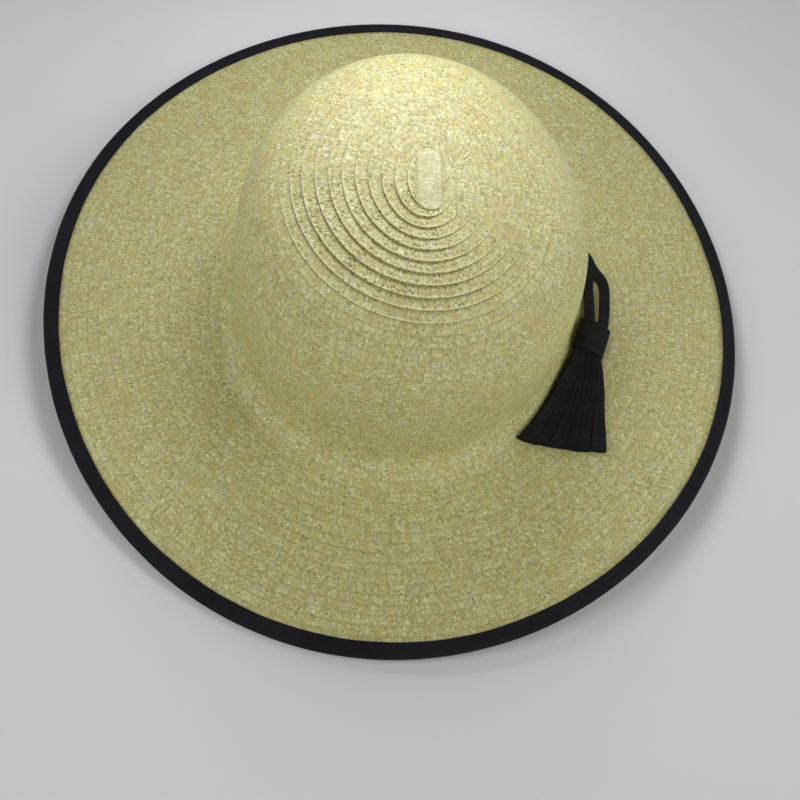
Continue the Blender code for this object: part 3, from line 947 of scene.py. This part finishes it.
# %% The braid's rail
def braid_rail(first, last, spacing, start_length):
    """Rail of the braid between two turns, with its edges, normals, steps and length so far."""
    turns, length = station_turns(first, last, spacing)
    azimuth = math.radians(BRAID_START) + 2 * math.pi * turns
    rows = CROWN_ROWS + BRIM_ROWS
    inner_row, outer_row = np.clip(turns, 0.0, rows), np.clip(turns + 1.0, 0.0, rows)
    middle_row = (inner_row + outer_row) / 2
    inner, middle, outer = (
        read_table(place_table, azimuth, row) for row in (inner_row, middle_row, outer_row))
    face_row = np.clip(middle_row, FACE_MARGINS[0], rows - FACE_MARGINS[1])
    face = unit(read_table(normal_table, azimuth, face_row))
    towards = np.cos(azimuth - math.radians(STEPPED_SIDE))
    front = np.interp(towards, *STEPPED_ROUND)
    fading = np.clip(STEPPED_ROWS + STEPPED_FADE - turns, 0.0, STEPPED_FADE) / STEPPED_FADE
    opening = np.clip(turns + 1.0, FIRST_STEP, 1.0)
    step = STEP_WALL + (STEP_TIP * front * opening - STEP_WALL) * fading
    return {
        "spine": middle,
        "side": (outer - inner) / 2,
        "bow": (outer + inner) / 2 - middle,
        "face": face,
        "step": step,
        "along": start_length + length,
    }


def crown_spacing(turns):
    """Distance between stations, short near the tip where the braid bends hard."""
    return np.interp(turns, *STATIONS_CROWN)


def brim_spacing(turns):
    """The same distance everywhere."""
    return STATION_BRIM + 0 * turns


crown_rail = braid_rail(BRAID_FIRST, float(CROWN_ROWS), crown_spacing, 0.0)
brim_rail = braid_rail(
    float(CROWN_ROWS), CROWN_ROWS + BRIM_ROWS - BRAID_SHORT, brim_spacing,
    crown_rail["along"][-1])
print("braid, m:", [round(float(rail["along"][-1]), 2) for rail in (crown_rail, brim_rail)])


# %% The braid's section and meshes
UPPER_FACE = -0.1


def braid_outline():
    """Section of the braid: a flat band with a thin lip at the edge that lies over the next row."""
    across, raised = zip(*BRAID_LIP)
    outline = []
    for x, y in BRAID_SECTION:
        lip = np.interp(x, across, raised, left=0.0, right=0.0) if y > UPPER_FACE else 0.0
        outline.append((x, y, x / 2 + lip))
    return outline


braid_profile = profile("braid_profile", braid_outline())
braid_values = {
    "Material": straw, "Profile": braid_profile, "Width": 1.0, "Thickness": BRAID_THICKNESS}
crown_braid = grow("crown_braid", rail_mesh("crown_rails", [crown_rail]), sweep, braid_values)
brim_braid = grow("brim_braid", rail_mesh("brim_rails", [brim_rail]), sweep, braid_values)

# %% [markdown]
# ## Button
#
# The start of the braid is closed by a short strip sewn over it, the button. It is the highest
# straw on the hat, with a thin raised edge along both sides and squared ends, so it gets a section
# of its own and the same sweep.

# %% The button strip
BUTTON_CENTRE = (0.0006, 0.0008)
BUTTON_TURN = 18.0
BUTTON_HALF_WIDTH = 0.0049
BUTTON_HALF_LENGTH = 0.0173
BUTTON_THICKNESS = 0.0011
BUTTON_RISE = -0.0001
BUTTON_SAG = 0.0004
BUTTON_CORNER = 9
BUTTON_END = 0.0004
BUTTON_BRAIDS = 2.0
BUTTON_STATIONS = 44
BUTTON_SECTION = (
    (-1.14, -0.8), (-1.06, -0.35), (-1.0, 0.02), (-0.94, 0.16), (-0.87, 0.1), (-0.8, -0.08),
    (-0.3, 0.0), (0.3, 0.0), (0.8, -0.08), (0.87, 0.1), (0.94, 0.16), (1.0, 0.02),
    (1.06, -0.35), (1.14, -0.8), (0.95, -1.1), (-0.95, -1.1),
)


def button_rail():
    """The strip laid on the tip, with squared ends that have round corners."""
    turn = math.radians(BUTTON_TURN)
    axis = np.array((-math.sin(turn), math.cos(turn), 0.0))
    sideways = np.array((math.cos(turn), math.sin(turn), 0.0))
    centre = np.array((*(TIP_CENTRE + BUTTON_CENTRE), place_table[0, 0, 2]))
    share = np.sin(np.linspace(-math.pi / 2, math.pi / 2, BUTTON_STATIONS))
    rounded = np.maximum(1.0 - np.abs(share) ** BUTTON_CORNER, 0.0) ** 0.5
    width = BUTTON_HALF_WIDTH * rounded + BUTTON_END
    face = np.tile((0.0, 0.0, 1.0), (BUTTON_STATIONS, 1))
    settle = BUTTON_RISE + BUTTON_THICKNESS - BUTTON_SAG * np.abs(share) ** 3
    return {
        "spine": centre + axis * (share * BUTTON_HALF_LENGTH)[:, None] + face * settle[:, None],
        "side": sideways * (width / BUTTON_BRAIDS)[:, None],
        "face": face,
        "along": (share + 1.0) * BUTTON_HALF_LENGTH,
        "strip": np.ones(BUTTON_STATIONS),
    }


button_profile = profile("button_profile", BUTTON_SECTION)
tip_button = grow("tip_button", rail_mesh("button_rail", [button_rail()]), sweep, {
    "Material": straw, "Profile": button_profile, "Width": BUTTON_BRAIDS,
    "Thickness": BUTTON_THICKNESS})

# %% [markdown]
# ## Stitches
#
# The rounds of a braid hat are held by one seam of thread that follows every row, close to its
# edge. Each stitch shows as a short bead of thread. There are thousands, so one small bead is
# instanced on points that are laid along the braid, turned to its direction and its surface.

# %% The stitch tree
STITCH_PITCH = 0.0046
STITCH_LENGTH = 0.0019
STITCH_THREAD = 0.00034
STITCH_ACROSS = 0.86
STITCH_LIFT = -0.00014
STITCH_SIDES = 4


def stitch_tree():
    """Tree that sets one bead of thread on every point of a mesh."""
    group, nodes, given = new_tree(
        "stitches", {"Length": "Float", "Thread": "Float", "Sides": "Int"})
    bead = nodes.wire(
        "GeometryNodeMeshUVSphere", {}, {"Segments": given["Sides"], "Rings": 4, "Radius": 0.5})
    size = nodes.vector(given["Length"], given["Thread"], given["Thread"])
    vector = attribute_reader(nodes, "FLOAT_VECTOR")
    turned = nodes.wire(
        "FunctionNodeAlignRotationToVector", {"axis": "X"}, {"Vector": vector("way")})
    turned = nodes.wire(
        "FunctionNodeAlignRotationToVector", {"axis": "Z", "pivot_axis": "X"},
        {"Rotation": turned, "Vector": vector("face")})
    placed = nodes.wire("GeometryNodeInstanceOnPoints", {}, {
        "Points": given["Geometry"], "Instance": bead, "Rotation": turned, "Scale": size})
    finish_tree(nodes, placed, given)
    return group


stitching = stitch_tree()
print("stitch tree:", len(stitching.nodes), "nodes")


# %% Points along the seam
def seam_points(name, rail):
    """Points every pitch along a rail, with the directions that a stitch is turned by."""
    places = np.arange(
        rail["along"][0] + STITCH_PITCH, rail["along"][-1] - STITCH_PITCH, STITCH_PITCH)

    def at(key):
        columns = np.atleast_2d(rail[key].T)
        return np.stack([np.interp(places, rail["along"], column) for column in columns], axis=-1)

    reach = 2 * STITCH_ACROSS - 1
    face = unit(at("face"))
    height = at("step") * reach / 2 + STITCH_LIFT
    points = at("spine") + at("side") * reach + at("bow") * reach ** 2 + face * height
    mesh = bpy.data.meshes.new(name)
    mesh.from_pydata(points.tolist(), [], [])
    store(mesh, "way", unit(np.gradient(points, axis=0)))
    store(mesh, "face", face)
    return mesh


# %% Thread and stitches
THREAD_DARK, THREAD_LIGHT = (0.48, 0.44, 0.25), (0.66, 0.62, 0.40)
SOILED_SCALE, TWIST_SCALE = 90.0, 3500.0
TWIST_RELIEF = 0.0001


def thread_material():
    """Twisted cream thread, darker in places."""
    material, nodes, shader = new_material("cream_thread", {"Roughness": 0.7})
    spot = nodes.spot()
    soiled, twist = nodes.noise(spot, SOILED_SCALE), nodes.noise(spot, TWIST_SCALE)
    feed(nodes, shader, {
        "Base Color": nodes.tint(THREAD_DARK, soiled, 0.35, 0.65, 1.0, THREAD_LIGHT),
        "Normal": nodes.bump(twist, TWIST_RELIEF),
    })
    return material


cream_thread = thread_material()
seam_values = {
    "Material": cream_thread, "Length": STITCH_LENGTH, "Thread": STITCH_THREAD,
    "Sides": STITCH_SIDES}
crown_stitches = grow(
    "crown_stitches", seam_points("crown_seam", crown_rail), stitching, seam_values)
brim_stitches = grow("brim_stitches", seam_points("brim_seam", brim_rail), stitching, seam_values)

# %% [markdown]
# ## Ribbon
#
# The raw edge of the straw is bound with a black ribbon, folded over it and sewn through. Its
# section is a narrow hairpin with a thick hem at each end, and it follows the rim all the way
# round. Ribbon bound over a curve never lies quite even, so its hem wanders a little.

# %% Ribbon section and rail
GAP = 0.0003
RIBBON = 0.001
RIBBON_STATIONS = 540
RIBBON_HALF = (
    (-0.0053, 0.0014), (-0.0055, 0.0018), (-0.0052, 0.00235), (-0.0044, 0.0023),
    (-0.004, 0.00212), (-0.0016, 0.0022),
)
RIBBON_WANDER = 0.03
RIBBON_WAVES = (2, 3, 5, 8, 13, 21, 34, 55)
WAVE_FALL = 0.4
PUCKER = 0.02
PUCKER_WAVES = 140
RIBBON_SEED = 5


def ribbon_outline():
    """Hairpin round the straw's edge, x out along the brim and y through it."""
    inner = STRAW / 2 + GAP
    outer = inner + RIBBON
    nose = [math.radians(turn) for turn in range(90, -91, -20)]
    outline = list(RIBBON_HALF)
    outline += [(outer * math.cos(t), outer * math.sin(t)) for t in nose]
    outline += [(x, -y) for x, y in reversed(RIBBON_HALF)]
    outline += [(inner * math.cos(t), inner * math.sin(t)) for t in reversed(nose)]
    return outline


def ribbon_rail():
    """Rail round the rim, with the hem's wander and the fold's puckers."""
    azimuth = np.linspace(0.0, 2 * math.pi, RIBBON_STATIONS, endpoint=False)
    edge, along, normal = brim_frame(azimuth, BRIM_WIDTH + 0 * azimuth)
    chance = np.random.default_rng(RIBBON_SEED)
    wander = np.zeros(RIBBON_STATIONS)
    for waves in RIBBON_WAVES:
        wander += np.sin(waves * azimuth + chance.uniform(0, 2 * math.pi)) / waves ** WAVE_FALL
    pucker = 1.0 + PUCKER * np.sin(PUCKER_WAVES * azimuth + 3 * wander)
    spine = edge - normal * (STRAW / 2)
    return {
        "spine": spine,
        "side": along * (1.0 + wander * RIBBON_WANDER)[:, None],
        "face": normal * pucker[:, None],
        "along": length_along(spine),
        "closed": True,
    }


print("ribbon section:", len(ribbon_outline()), "corners")


# %% Ribbon material and mesh
RIB_PITCH, WEFT_PITCH = 0.0009, 0.0007
RIBBON_BLACK, RIBBON_WORN = (0.0055, 0.0055, 0.0085), (0.010, 0.010, 0.014)
LINT_COLOUR = (0.035, 0.035, 0.04)
LINT_SCALE, WORN_SCALE = 700.0, 35.0
RIBBON_RELIEF = 0.00012


def ribbon_material():
    """Dull black ribbon with fine ribs, worn in places and a little linty."""
    material, nodes, shader = new_material(
        "ribbon", {"Roughness": 0.85, "Specular IOR Level": 0.25})
    spot = nodes.spot()
    out = nodes.surface("across") * 2.0 - 1.0
    rib = (nodes.surface("along") * (2 * math.pi / RIB_PITCH)).with_("SINE") * 0.5 + 0.5
    weft = (out * (2 * math.pi / WEFT_PITCH)).with_("SINE") * 0.5 + 0.5
    lint, worn = nodes.noise(spot, LINT_SCALE), nodes.noise(spot, WORN_SCALE, 4.0)
    colour = nodes.tint(RIBBON_BLACK, worn, 0.35, 0.7, 1.0, RIBBON_WORN)
    feed(nodes, shader, {
        "Base Color": nodes.tint(colour, lint, 0.62, 0.8, 0.35, LINT_COLOUR),
        "Roughness": 0.9 - rib * 0.12,
        "Normal": nodes.bump(rib * 0.7 + weft * 0.3 + lint * 0.4, RIBBON_RELIEF),
    })
    return material


ribbon_profile = profile("ribbon_profile", ribbon_outline())
ribbon_cloth = ribbon_material()
brim_binding = grow("ribbon_binding", rail_mesh("rim_rail", [ribbon_rail()]), sweep, {
    "Material": ribbon_cloth, "Profile": ribbon_profile, "Width": 1.0, "Thickness": 1.0})

# %% [markdown]
# ## Tassel
#
# The tassel is cut from thin black suede: a doubled strip makes the loop, a short wide strip is
# rolled round its ends, and a bundle of narrow strips hangs from that roll. It lies on the brim,
# close to the foot of the crown, so its parts are laid out by how far round the brim and how far
# out from the head line they are. The same rules as in the solids put it in the same place.

# %% Sizes of the tassel
LAY = 0.0006
TASSEL_AZIMUTH = 36.0
TASSEL_OFFSET = 0.014
STRIP_THICKNESS = 0.0014
LOOP_LENGTH = 0.054
LOOP_STRIP = 0.0058
LOOP_SPREAD = 0.0045
LOOP_OVERLAP = 0.0002
LOOP_INSIDE = 0.0045
LOOP_PATH = (
    {"along": 0.0, "reach": 1.02, "spread": 0.92},
    {"along": 0.3, "reach": 1.04, "spread": 0.98},
    {"along": 0.53, "reach": 1.05, "spread": 0.92},
    {"along": 0.66, "reach": 1.02, "spread": 0.12},
    {"along": 0.82, "reach": 0.86, "spread": 0.0},
    {"along": 1.0, "reach": 0.48, "spread": 0.0},
)
WRAP_LENGTH = 0.018
WRAP_WIDTH = 0.0175
WRAP_DEPTH = 0.0075
WRAP_WALL = 0.001
WRAP_TURN = 4.0
WRAP_BED = 0.006
FRINGE_INSIDE = 0.009
FRINGE_REACH = 0.045
FRINGE_SWEEP_CROWN = 33.5
FRINGE_SWEEP_BRIM = 20.5
FRINGE_EDGES = (
    {"along": 0.0, "crown_side": 0.09, "brim_side": 0.47},
    {"along": 0.33, "crown_side": 0.08, "brim_side": 0.62},
    {"along": 0.67, "crown_side": 0.12, "brim_side": 0.78},
    {"along": 1.0, "crown_side": 0.16, "brim_side": 1.0},
)
print("tassel, mm:", round(1000 * (LOOP_LENGTH + WRAP_LENGTH)), "to the fringe")


# %% Places on the brim
WALK_STEPS = 24
WALK_PROBE = 0.001


def brim_distance(azimuth, reach):
    """Distance along the brim's top face at which it has come this far out of the head line."""
    slope = brim_slope(azimuth)
    curve_reach = HEAD_CURVE * (1.0 - np.sin(slope))
    on_curve = HEAD_CURVE * np.arccos(np.clip(1.0 - reach / HEAD_CURVE, -1.0, 1.0))
    arc = HEAD_CURVE * (math.pi / 2 - slope)
    return np.where(reach <= curve_reach, on_curve, arc + (reach - curve_reach) / np.cos(slope))


def rest_on_brim(azimuth, reach, lift):
    """Points above the brim's top face, and the face's normals there."""
    point, _, normal = brim_frame(azimuth, brim_distance(azimuth, reach))
    return point + normal * np.asarray(lift)[..., None], normal


def walk_round(azimuth, reach, distance):
    """Azimuth after going forwards round the brim, at a reach from the head line."""
    zero = 0.0 * distance
    azimuth = azimuth + zero
    for _ in range(WALK_STEPS):
        probe = azimuth - WALK_PROBE
        here = crown_outer(azimuth, zero) + outward(azimuth) * reach
        ahead = crown_outer(probe, zero) + outward(probe) * reach
        step = np.linalg.norm(ahead - here, axis=-1)
        azimuth = azimuth - WALK_PROBE * (distance / WALK_STEPS) / step
    return azimuth


def bed_under(azimuth, reach):
    """Middle of a straight edge laid across the brim here, and its direction outwards."""
    inner, _ = rest_on_brim(azimuth, reach - WRAP_BED, LAY)
    outer, _ = rest_on_brim(azimuth, reach + WRAP_BED, LAY)
    return (inner + outer) / 2, unit(outer - inner)


loop_distance = brim_distance(math.radians(TASSEL_AZIMUTH), TASSEL_OFFSET)
print("loop, mm out along the brim:", round(1000 * float(loop_distance), 1))


# %% Where the tassel's head lies
def head_place():
    """Where the rolled head of the tassel starts, and its own directions, lying on the brim."""
    start = walk_round(np.array(math.radians(TASSEL_AZIMUTH)), TASSEL_OFFSET, np.array(LOOP_LENGTH))
    end = walk_round(start, TASSEL_OFFSET, np.array(WRAP_LENGTH))
    end_offset = TASSEL_OFFSET - WRAP_LENGTH * math.sin(math.radians(WRAP_TURN))
    top, top_side = bed_under(start, TASSEL_OFFSET)
    bottom, bottom_side = bed_under(end, end_offset)
    down = unit(bottom - top)
    up = unit(np.cross(top_side + bottom_side, down))
    up = up * np.sign(up[2])
    side = unit(np.cross(down, up))
    side = side * np.sign(side @ top_side)
    return {
        "azimuth": start, "end_azimuth": end, "top": top + up * (WRAP_DEPTH / 2),
        "down": down, "side": side, "up": up,
    }


def through(rows, column, along):
    """Smooth curve through a table's column, read at shares of the way along."""
    places = np.array([row["along"] for row in rows])
    values = np.array([row[column] for row in rows])
    slopes = np.empty(len(rows))
    slopes[1:-1] = (values[2:] - values[:-2]) / (places[2:] - places[:-2])
    slopes[0] = (values[1] - values[0]) / (places[1] - places[0])
    slopes[-1] = (values[-1] - values[-2]) / (places[-1] - places[-2])
    i = np.clip(np.searchsorted(places, along, side="right") - 1, 0, len(rows) - 2)
    span = places[i + 1] - places[i]
    t = (along - places[i]) / span
    return (
        values[i] * (2 * t ** 3 - 3 * t ** 2 + 1) + values[i + 1] * (3 * t ** 2 - 2 * t ** 3)
        + span * slopes[i] * (t ** 3 - 2 * t ** 2 + t) + span * slopes[i + 1] * (t ** 3 - t ** 2)
    )


head = head_place()
print("tassel head at, mm:", np.round(head["top"] * 1000, 1).tolist())


# %% Rails of the loop
LOOP_STATIONS = 60
LOOP_NUMBER = 40


def strip_number(spine, number):
    """The number of a strip on all its points, which gives it a tone of its own."""
    return np.full(len(spine), float(number))


def loop_rail(side):
    """One leg of the loop, from inside the roll to where it is sewn to the crown's foot."""
    along = np.linspace(0.0, 1.0, LOOP_STATIONS)[1:]
    azimuth = walk_round(head["azimuth"], TASSEL_OFFSET, -LOOP_LENGTH * along)
    reach = TASSEL_OFFSET * through(LOOP_PATH, "reach", along)
    spread = LOOP_SPREAD * np.maximum(through(LOOP_PATH, "spread", along), 0.0) * side
    rest_lift = LAY + STRIP_THICKNESS / 2 + LOOP_OVERLAP * (1 + side)
    lift = rest_lift + (WRAP_DEPTH / 2 - rest_lift) * (1.0 - along) ** 3
    spine, face = rest_on_brim(azimuth, reach + spread, lift)
    inside = head["side"] * (LOOP_PATH[0]["spread"] * LOOP_SPREAD * side)
    start = head["top"] + head["down"] * LOOP_INSIDE + inside
    mouth = head["top"] - head["down"] * GAP + inside
    spine = np.concatenate(([start, mouth], spine))
    face = np.concatenate(([head["up"], head["up"]], face))
    forwards = unit(np.gradient(spine, axis=0))
    sideways = unit(np.cross(face, forwards))
    return {
        "spine": spine,
        "side": sideways * (LOOP_STRIP / 2),
        "face": unit(np.cross(forwards, sideways)),
        "along": length_along(spine),
        "strip": strip_number(spine, LOOP_NUMBER + side),
    }


print("loop, mm from its sewn end to the roll:", 1000 * LOOP_LENGTH)


# %% Rail of the rolled head
WRAP_STATIONS = 90
WRAP_TURNS = 2.35
WRAP_START = 0.15 + math.pi * 0.35
WRAP_SPIRAL = 0.0009
WRAP_NUMBER = 50
SUEDE = 0.0008


def roll_rail():
    """The wide strip rolled round the head of the tassel, from its inside to its free end."""
    turn = WRAP_START + np.linspace(0.0, 2 * math.pi * WRAP_TURNS, WRAP_STATIONS)
    share = np.linspace(0.0, 1.0, WRAP_STATIONS)
    shrink = (1.0 - share) * WRAP_SPIRAL + SUEDE / 2
    centre = head["top"] + head["down"] * (WRAP_LENGTH / 2)
    across, depth = WRAP_WIDTH / 2 - shrink, WRAP_DEPTH / 2 - shrink
    cosine, sine = np.cos(turn), np.sin(turn)
    spine = centre + np.outer(across * cosine, head["side"]) + np.outer(depth * sine, head["up"])
    return {
        "spine": spine,
        "side": np.tile(head["down"] * (WRAP_LENGTH / 2), (WRAP_STATIONS, 1)),
        "face": unit(np.outer(depth * cosine, head["side"]) + np.outer(across * sine, head["up"])),
        "along": length_along(spine),
        "strip": strip_number(spine, WRAP_NUMBER),
    }


print("roll, mm:", 1000 * WRAP_WIDTH, "by", 1000 * WRAP_DEPTH)


# %% Fringe strips
FRINGE_LAYERS = (11, 10, 11)
FRINGE_STATIONS = 26
FRINGE_START = 0.02
FRINGE_FILL = 0.97
FRINGE_UNEVEN = 0.012
FRINGE_STEP = 0.004
FRINGE_DRIFT = 0.008
FRINGE_ROLL = 0.07
FRINGE_RISE = 0.0015
BUNDLE_EDGE = 0.05
BUNDLE_SPARE = 0.0007
BUNDLE_DEPTH = 0.8
FRINGE_SEED = 11


def fringe_place(along, across, height):
    """Points of the fan; height 0 is its underside and 1 its top."""
    sweep_angle = FRINGE_SWEEP_CROWN + (FRINGE_SWEEP_BRIM - FRINGE_SWEEP_CROWN) * across
    azimuth = head["end_azimuth"] - np.radians(sweep_angle * along)
    near = FRINGE_REACH * through(FRINGE_EDGES, "crown_side", along)
    far = FRINGE_REACH * through(FRINGE_EDGES, "brim_side", along)
    settled = 1.0 - (1.0 - along) ** 2
    depth = WRAP_DEPTH / 2 - WRAP_WALL - SUEDE / 2
    oval = np.sqrt(np.maximum(1.0 - (2 * across - 1) ** 2, BUNDLE_EDGE))
    bundled = WRAP_DEPTH / 2 + depth * oval * (2 * height - 1)
    flat = LAY + SUEDE / 2 + FRINGE_RISE * height
    return rest_on_brim(azimuth, near + (far - near) * across, bundled + (flat - bundled) * settled)


print("strips in each layer of the fringe:", FRINGE_LAYERS)


# %% Rails of the fringe
def fringe_rail(layer, index, number, chance):
    """One strip, from inside the roll to its cut end."""
    count = FRINGE_LAYERS[layer]
    across = (index + 0.5) / count
    height = layer / (len(FRINGE_LAYERS) - 1)
    along = np.linspace(
        FRINGE_START, 1.0 - FRINGE_UNEVEN * chance.random() - FRINGE_STEP * layer, FRINGE_STATIONS)
    middle = across + chance.uniform(-FRINGE_DRIFT, FRINGE_DRIFT) * along ** 2
    share = FRINGE_FILL / (2 * count)
    one, _ = fringe_place(along, np.maximum(middle - share, 0.0), height)
    other, face = fringe_place(along, np.minimum(middle + share, 1.0), height)
    half = WRAP_WIDTH / 2 - WRAP_WALL - 2 * GAP - BUNDLE_SPARE
    depth = (WRAP_DEPTH / 2 - WRAP_WALL - SUEDE) * (layer - 1) * BUNDLE_DEPTH
    aside = 2 * across - 1
    inside = head["side"] * (aside * half) + head["up"] * (depth * math.sqrt(1.0 - aside ** 2))
    start = head["top"] + head["down"] * (WRAP_LENGTH - FRINGE_INSIDE) + inside
    mouth = head["top"] + head["down"] * (WRAP_LENGTH - GAP) + inside
    narrow = head["side"] * (half * share * 2)
    spine = np.concatenate(([start, mouth], (one + other) / 2))
    side = np.concatenate(([narrow, narrow], (other - one) / 2))
    face = np.concatenate(([head["up"], head["up"]], face))
    return {
        "spine": spine,
        "side": side,
        "face": unit(face + unit(side) * chance.uniform(-FRINGE_ROLL, FRINGE_ROLL)),
        "along": length_along(spine),
        "strip": strip_number(spine, number),
    }


def fringe_rails():
    """All strips, layer by layer."""
    chance = np.random.default_rng(FRINGE_SEED)
    rails = []
    for layer, count in enumerate(FRINGE_LAYERS):
        for index in range(count):
            rails.append(fringe_rail(layer, index, len(rails), chance))
    return rails


fringe = fringe_rails()
print("shortest strip, mm:", round(1000 * min(float(rail["along"][-1]) for rail in fringe), 1))


# %% Suede and the tassel's meshes
SUEDE_BLACK, SUEDE_DARK = (0.0065, 0.0065, 0.0070), (0.0120, 0.0120, 0.0125)
SUEDE_BRUSHED, SUEDE_EDGE = (0.017, 0.017, 0.018), (0.028, 0.028, 0.029)
NAP_SCALE, BRUSHED_SCALE = 1400.0, 120.0
SUEDE_RELIEF = 0.0002
STRIP_CORNERS = 12
STRIP_SQUARENESS = 3.2


def suede_material():
    """Black suede: each strip a little different, brushed in places and paler at its cut edges."""
    material, nodes, shader = new_material("suede", {"Roughness": 0.9, "Specular IOR Level": 0.2})
    spot = nodes.spot()
    nap, brushed = nodes.noise(spot, NAP_SCALE, 3.0), nodes.noise(spot, BRUSHED_SCALE, 3.0)
    colour = nodes.mix(nodes.random(nodes.surface("strip")), SUEDE_BLACK, SUEDE_DARK)
    colour = nodes.tint(colour, brushed, 0.4, 0.7, 0.5, SUEDE_BRUSHED)
    colour = nodes.tint(
        colour, nodes.surface("across").from_middle(), 0.82, 1.0, 0.5, SUEDE_EDGE)
    feed(nodes, shader, {
        "Base Color": colour,
        "Roughness": 0.95 - brushed * 0.15,
        "Normal": nodes.bump(nap * 0.6 + brushed, SUEDE_RELIEF),
    })
    return material


def rounded_bar(count, squareness):
    """Outline of a strip, 2 across and 1 through: an oval pressed towards a rectangle."""
    def pressed(value):
        return math.copysign(abs(value) ** (1.0 / squareness), value)

    turns = [2 * math.pi * i / count for i in range(count)]
    return [(pressed(math.cos(t)), pressed(math.sin(t)) / 2) for t in turns]


suede = suede_material()
strip_profile = profile("strip_profile", rounded_bar(STRIP_CORNERS, STRIP_SQUARENESS))


def suede_piece(name, rails, thickness):
    """A piece of the tassel, from the rails of its strips."""
    return grow(name, rail_mesh(name + "_rails", rails), sweep, {
        "Material": suede, "Profile": strip_profile, "Width": 1.0, "Thickness": thickness})


loop_strip = suede_piece("loop_strip", [loop_rail(-1), loop_rail(1)], STRIP_THICKNESS)
head_roll = suede_piece("head_roll", [roll_rail()], SUEDE)
fringe_strips = suede_piece("fringe_strips", fringe, SUEDE)

# %% [markdown]
# ## Floor
#
# The hat rests on a plain pale floor. Photographers let the floor turn up into a wall in a wide
# curve, so that no line shows where one ends and the other begins, and the same is done here all
# round the hat: a line is drawn from the middle of the floor to the top of the wall and spun
# round. A faint unevenness keeps it from being a dead flat colour.

# %% Floor
FLOOR_RADIUS = 2.4
WALL_CURVE = 0.9
WALL_TOP = 2.8
SPIN_STEPS = 96
BEND_STEP = 6
WELD = 0.00001
FLOOR_SHADE, FLOOR_LIGHT = (0.78, 0.78, 0.78), (0.82, 0.82, 0.82)
FLOOR_SCALE = 3.0


def cove_mesh():
    """A round floor that turns up into a wall."""
    bend = [math.radians(turn) for turn in range(0, 91, BEND_STEP)]
    line = [(0.0, 0.0), (FLOOR_RADIUS / 2, 0.0)]
    line += [
        (FLOOR_RADIUS + WALL_CURVE * math.sin(t), WALL_CURVE * (1 - math.cos(t))) for t in bend]
    line.append((FLOOR_RADIUS + WALL_CURVE, WALL_TOP))
    work = bmesh.new()
    points = [work.verts.new((x, 0.0, z)) for x, z in line]
    edges = [work.edges.new(pair) for pair in zip(points, points[1:])]
    bmesh.ops.spin(
        work, geom=points + edges, axis=(0, 0, 1), cent=(0, 0, 0), angle=2 * math.pi,
        steps=SPIN_STEPS, use_merge=True)
    bmesh.ops.remove_doubles(work, verts=work.verts, dist=WELD)
    for face in work.faces:
        middle = face.calc_center_median()
        inwards = Vector((-middle.x, -middle.y, WALL_TOP))
        if face.normal.dot(inwards) < 0:
            face.normal_flip()
        face.smooth = True
    mesh = bpy.data.meshes.new("floor")
    work.to_mesh(mesh)
    work.free()
    return mesh


def floor_finish():
    """A pale floor, faintly uneven in tone."""
    material, nodes, shader = new_material("floor", {"Roughness": 0.8})
    cloud = nodes.noise(nodes.spot(), FLOOR_SCALE)
    feed(nodes, shader, {"Base Color": nodes.mix(cloud, FLOOR_SHADE, FLOOR_LIGHT)})
    return material


floor_mesh = cove_mesh()
floor_mesh.materials.append(floor_finish())
floor = link("floor", floor_mesh)
print("floor, m across:", 2 * (FLOOR_RADIUS + WALL_CURVE))

# %% [markdown]
# ## The whole hat
#
# Six of the pieces take the place of one plain solid each. The button and the two seams lie on the
# braid and replace nothing. The real hat has no joint that turns or slides, so all of them ride on
# one body. The table also lists which of the hat's three finishes each piece has: straw, ribbon or
# tassel, though nothing here reads it.

# %% Attach the pieces to the hat
for shape in (braid_profile, button_profile, ribbon_profile, strip_profile):
    bpy.data.objects.remove(shape, do_unlink=True)
PIECES = (
    (crown_braid, "straw", "crown"),
    (brim_braid, "straw", "brim"),
    (tip_button, "straw", None),
    (crown_stitches, "straw", None),
    (brim_stitches, "straw", None),
    (brim_binding, "ribbon", "brim_ribbon"),
    (loop_strip, "tassel", "tassel_loop"),
    (head_roll, "tassel", "tassel_wrap"),
    (fringe_strips, "tassel", "tassel_fringe"),
)
for piece, slot, node in PIECES:
    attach(piece, "root")
    if node:
        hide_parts(node)
print("pieces:", len(PIECES))
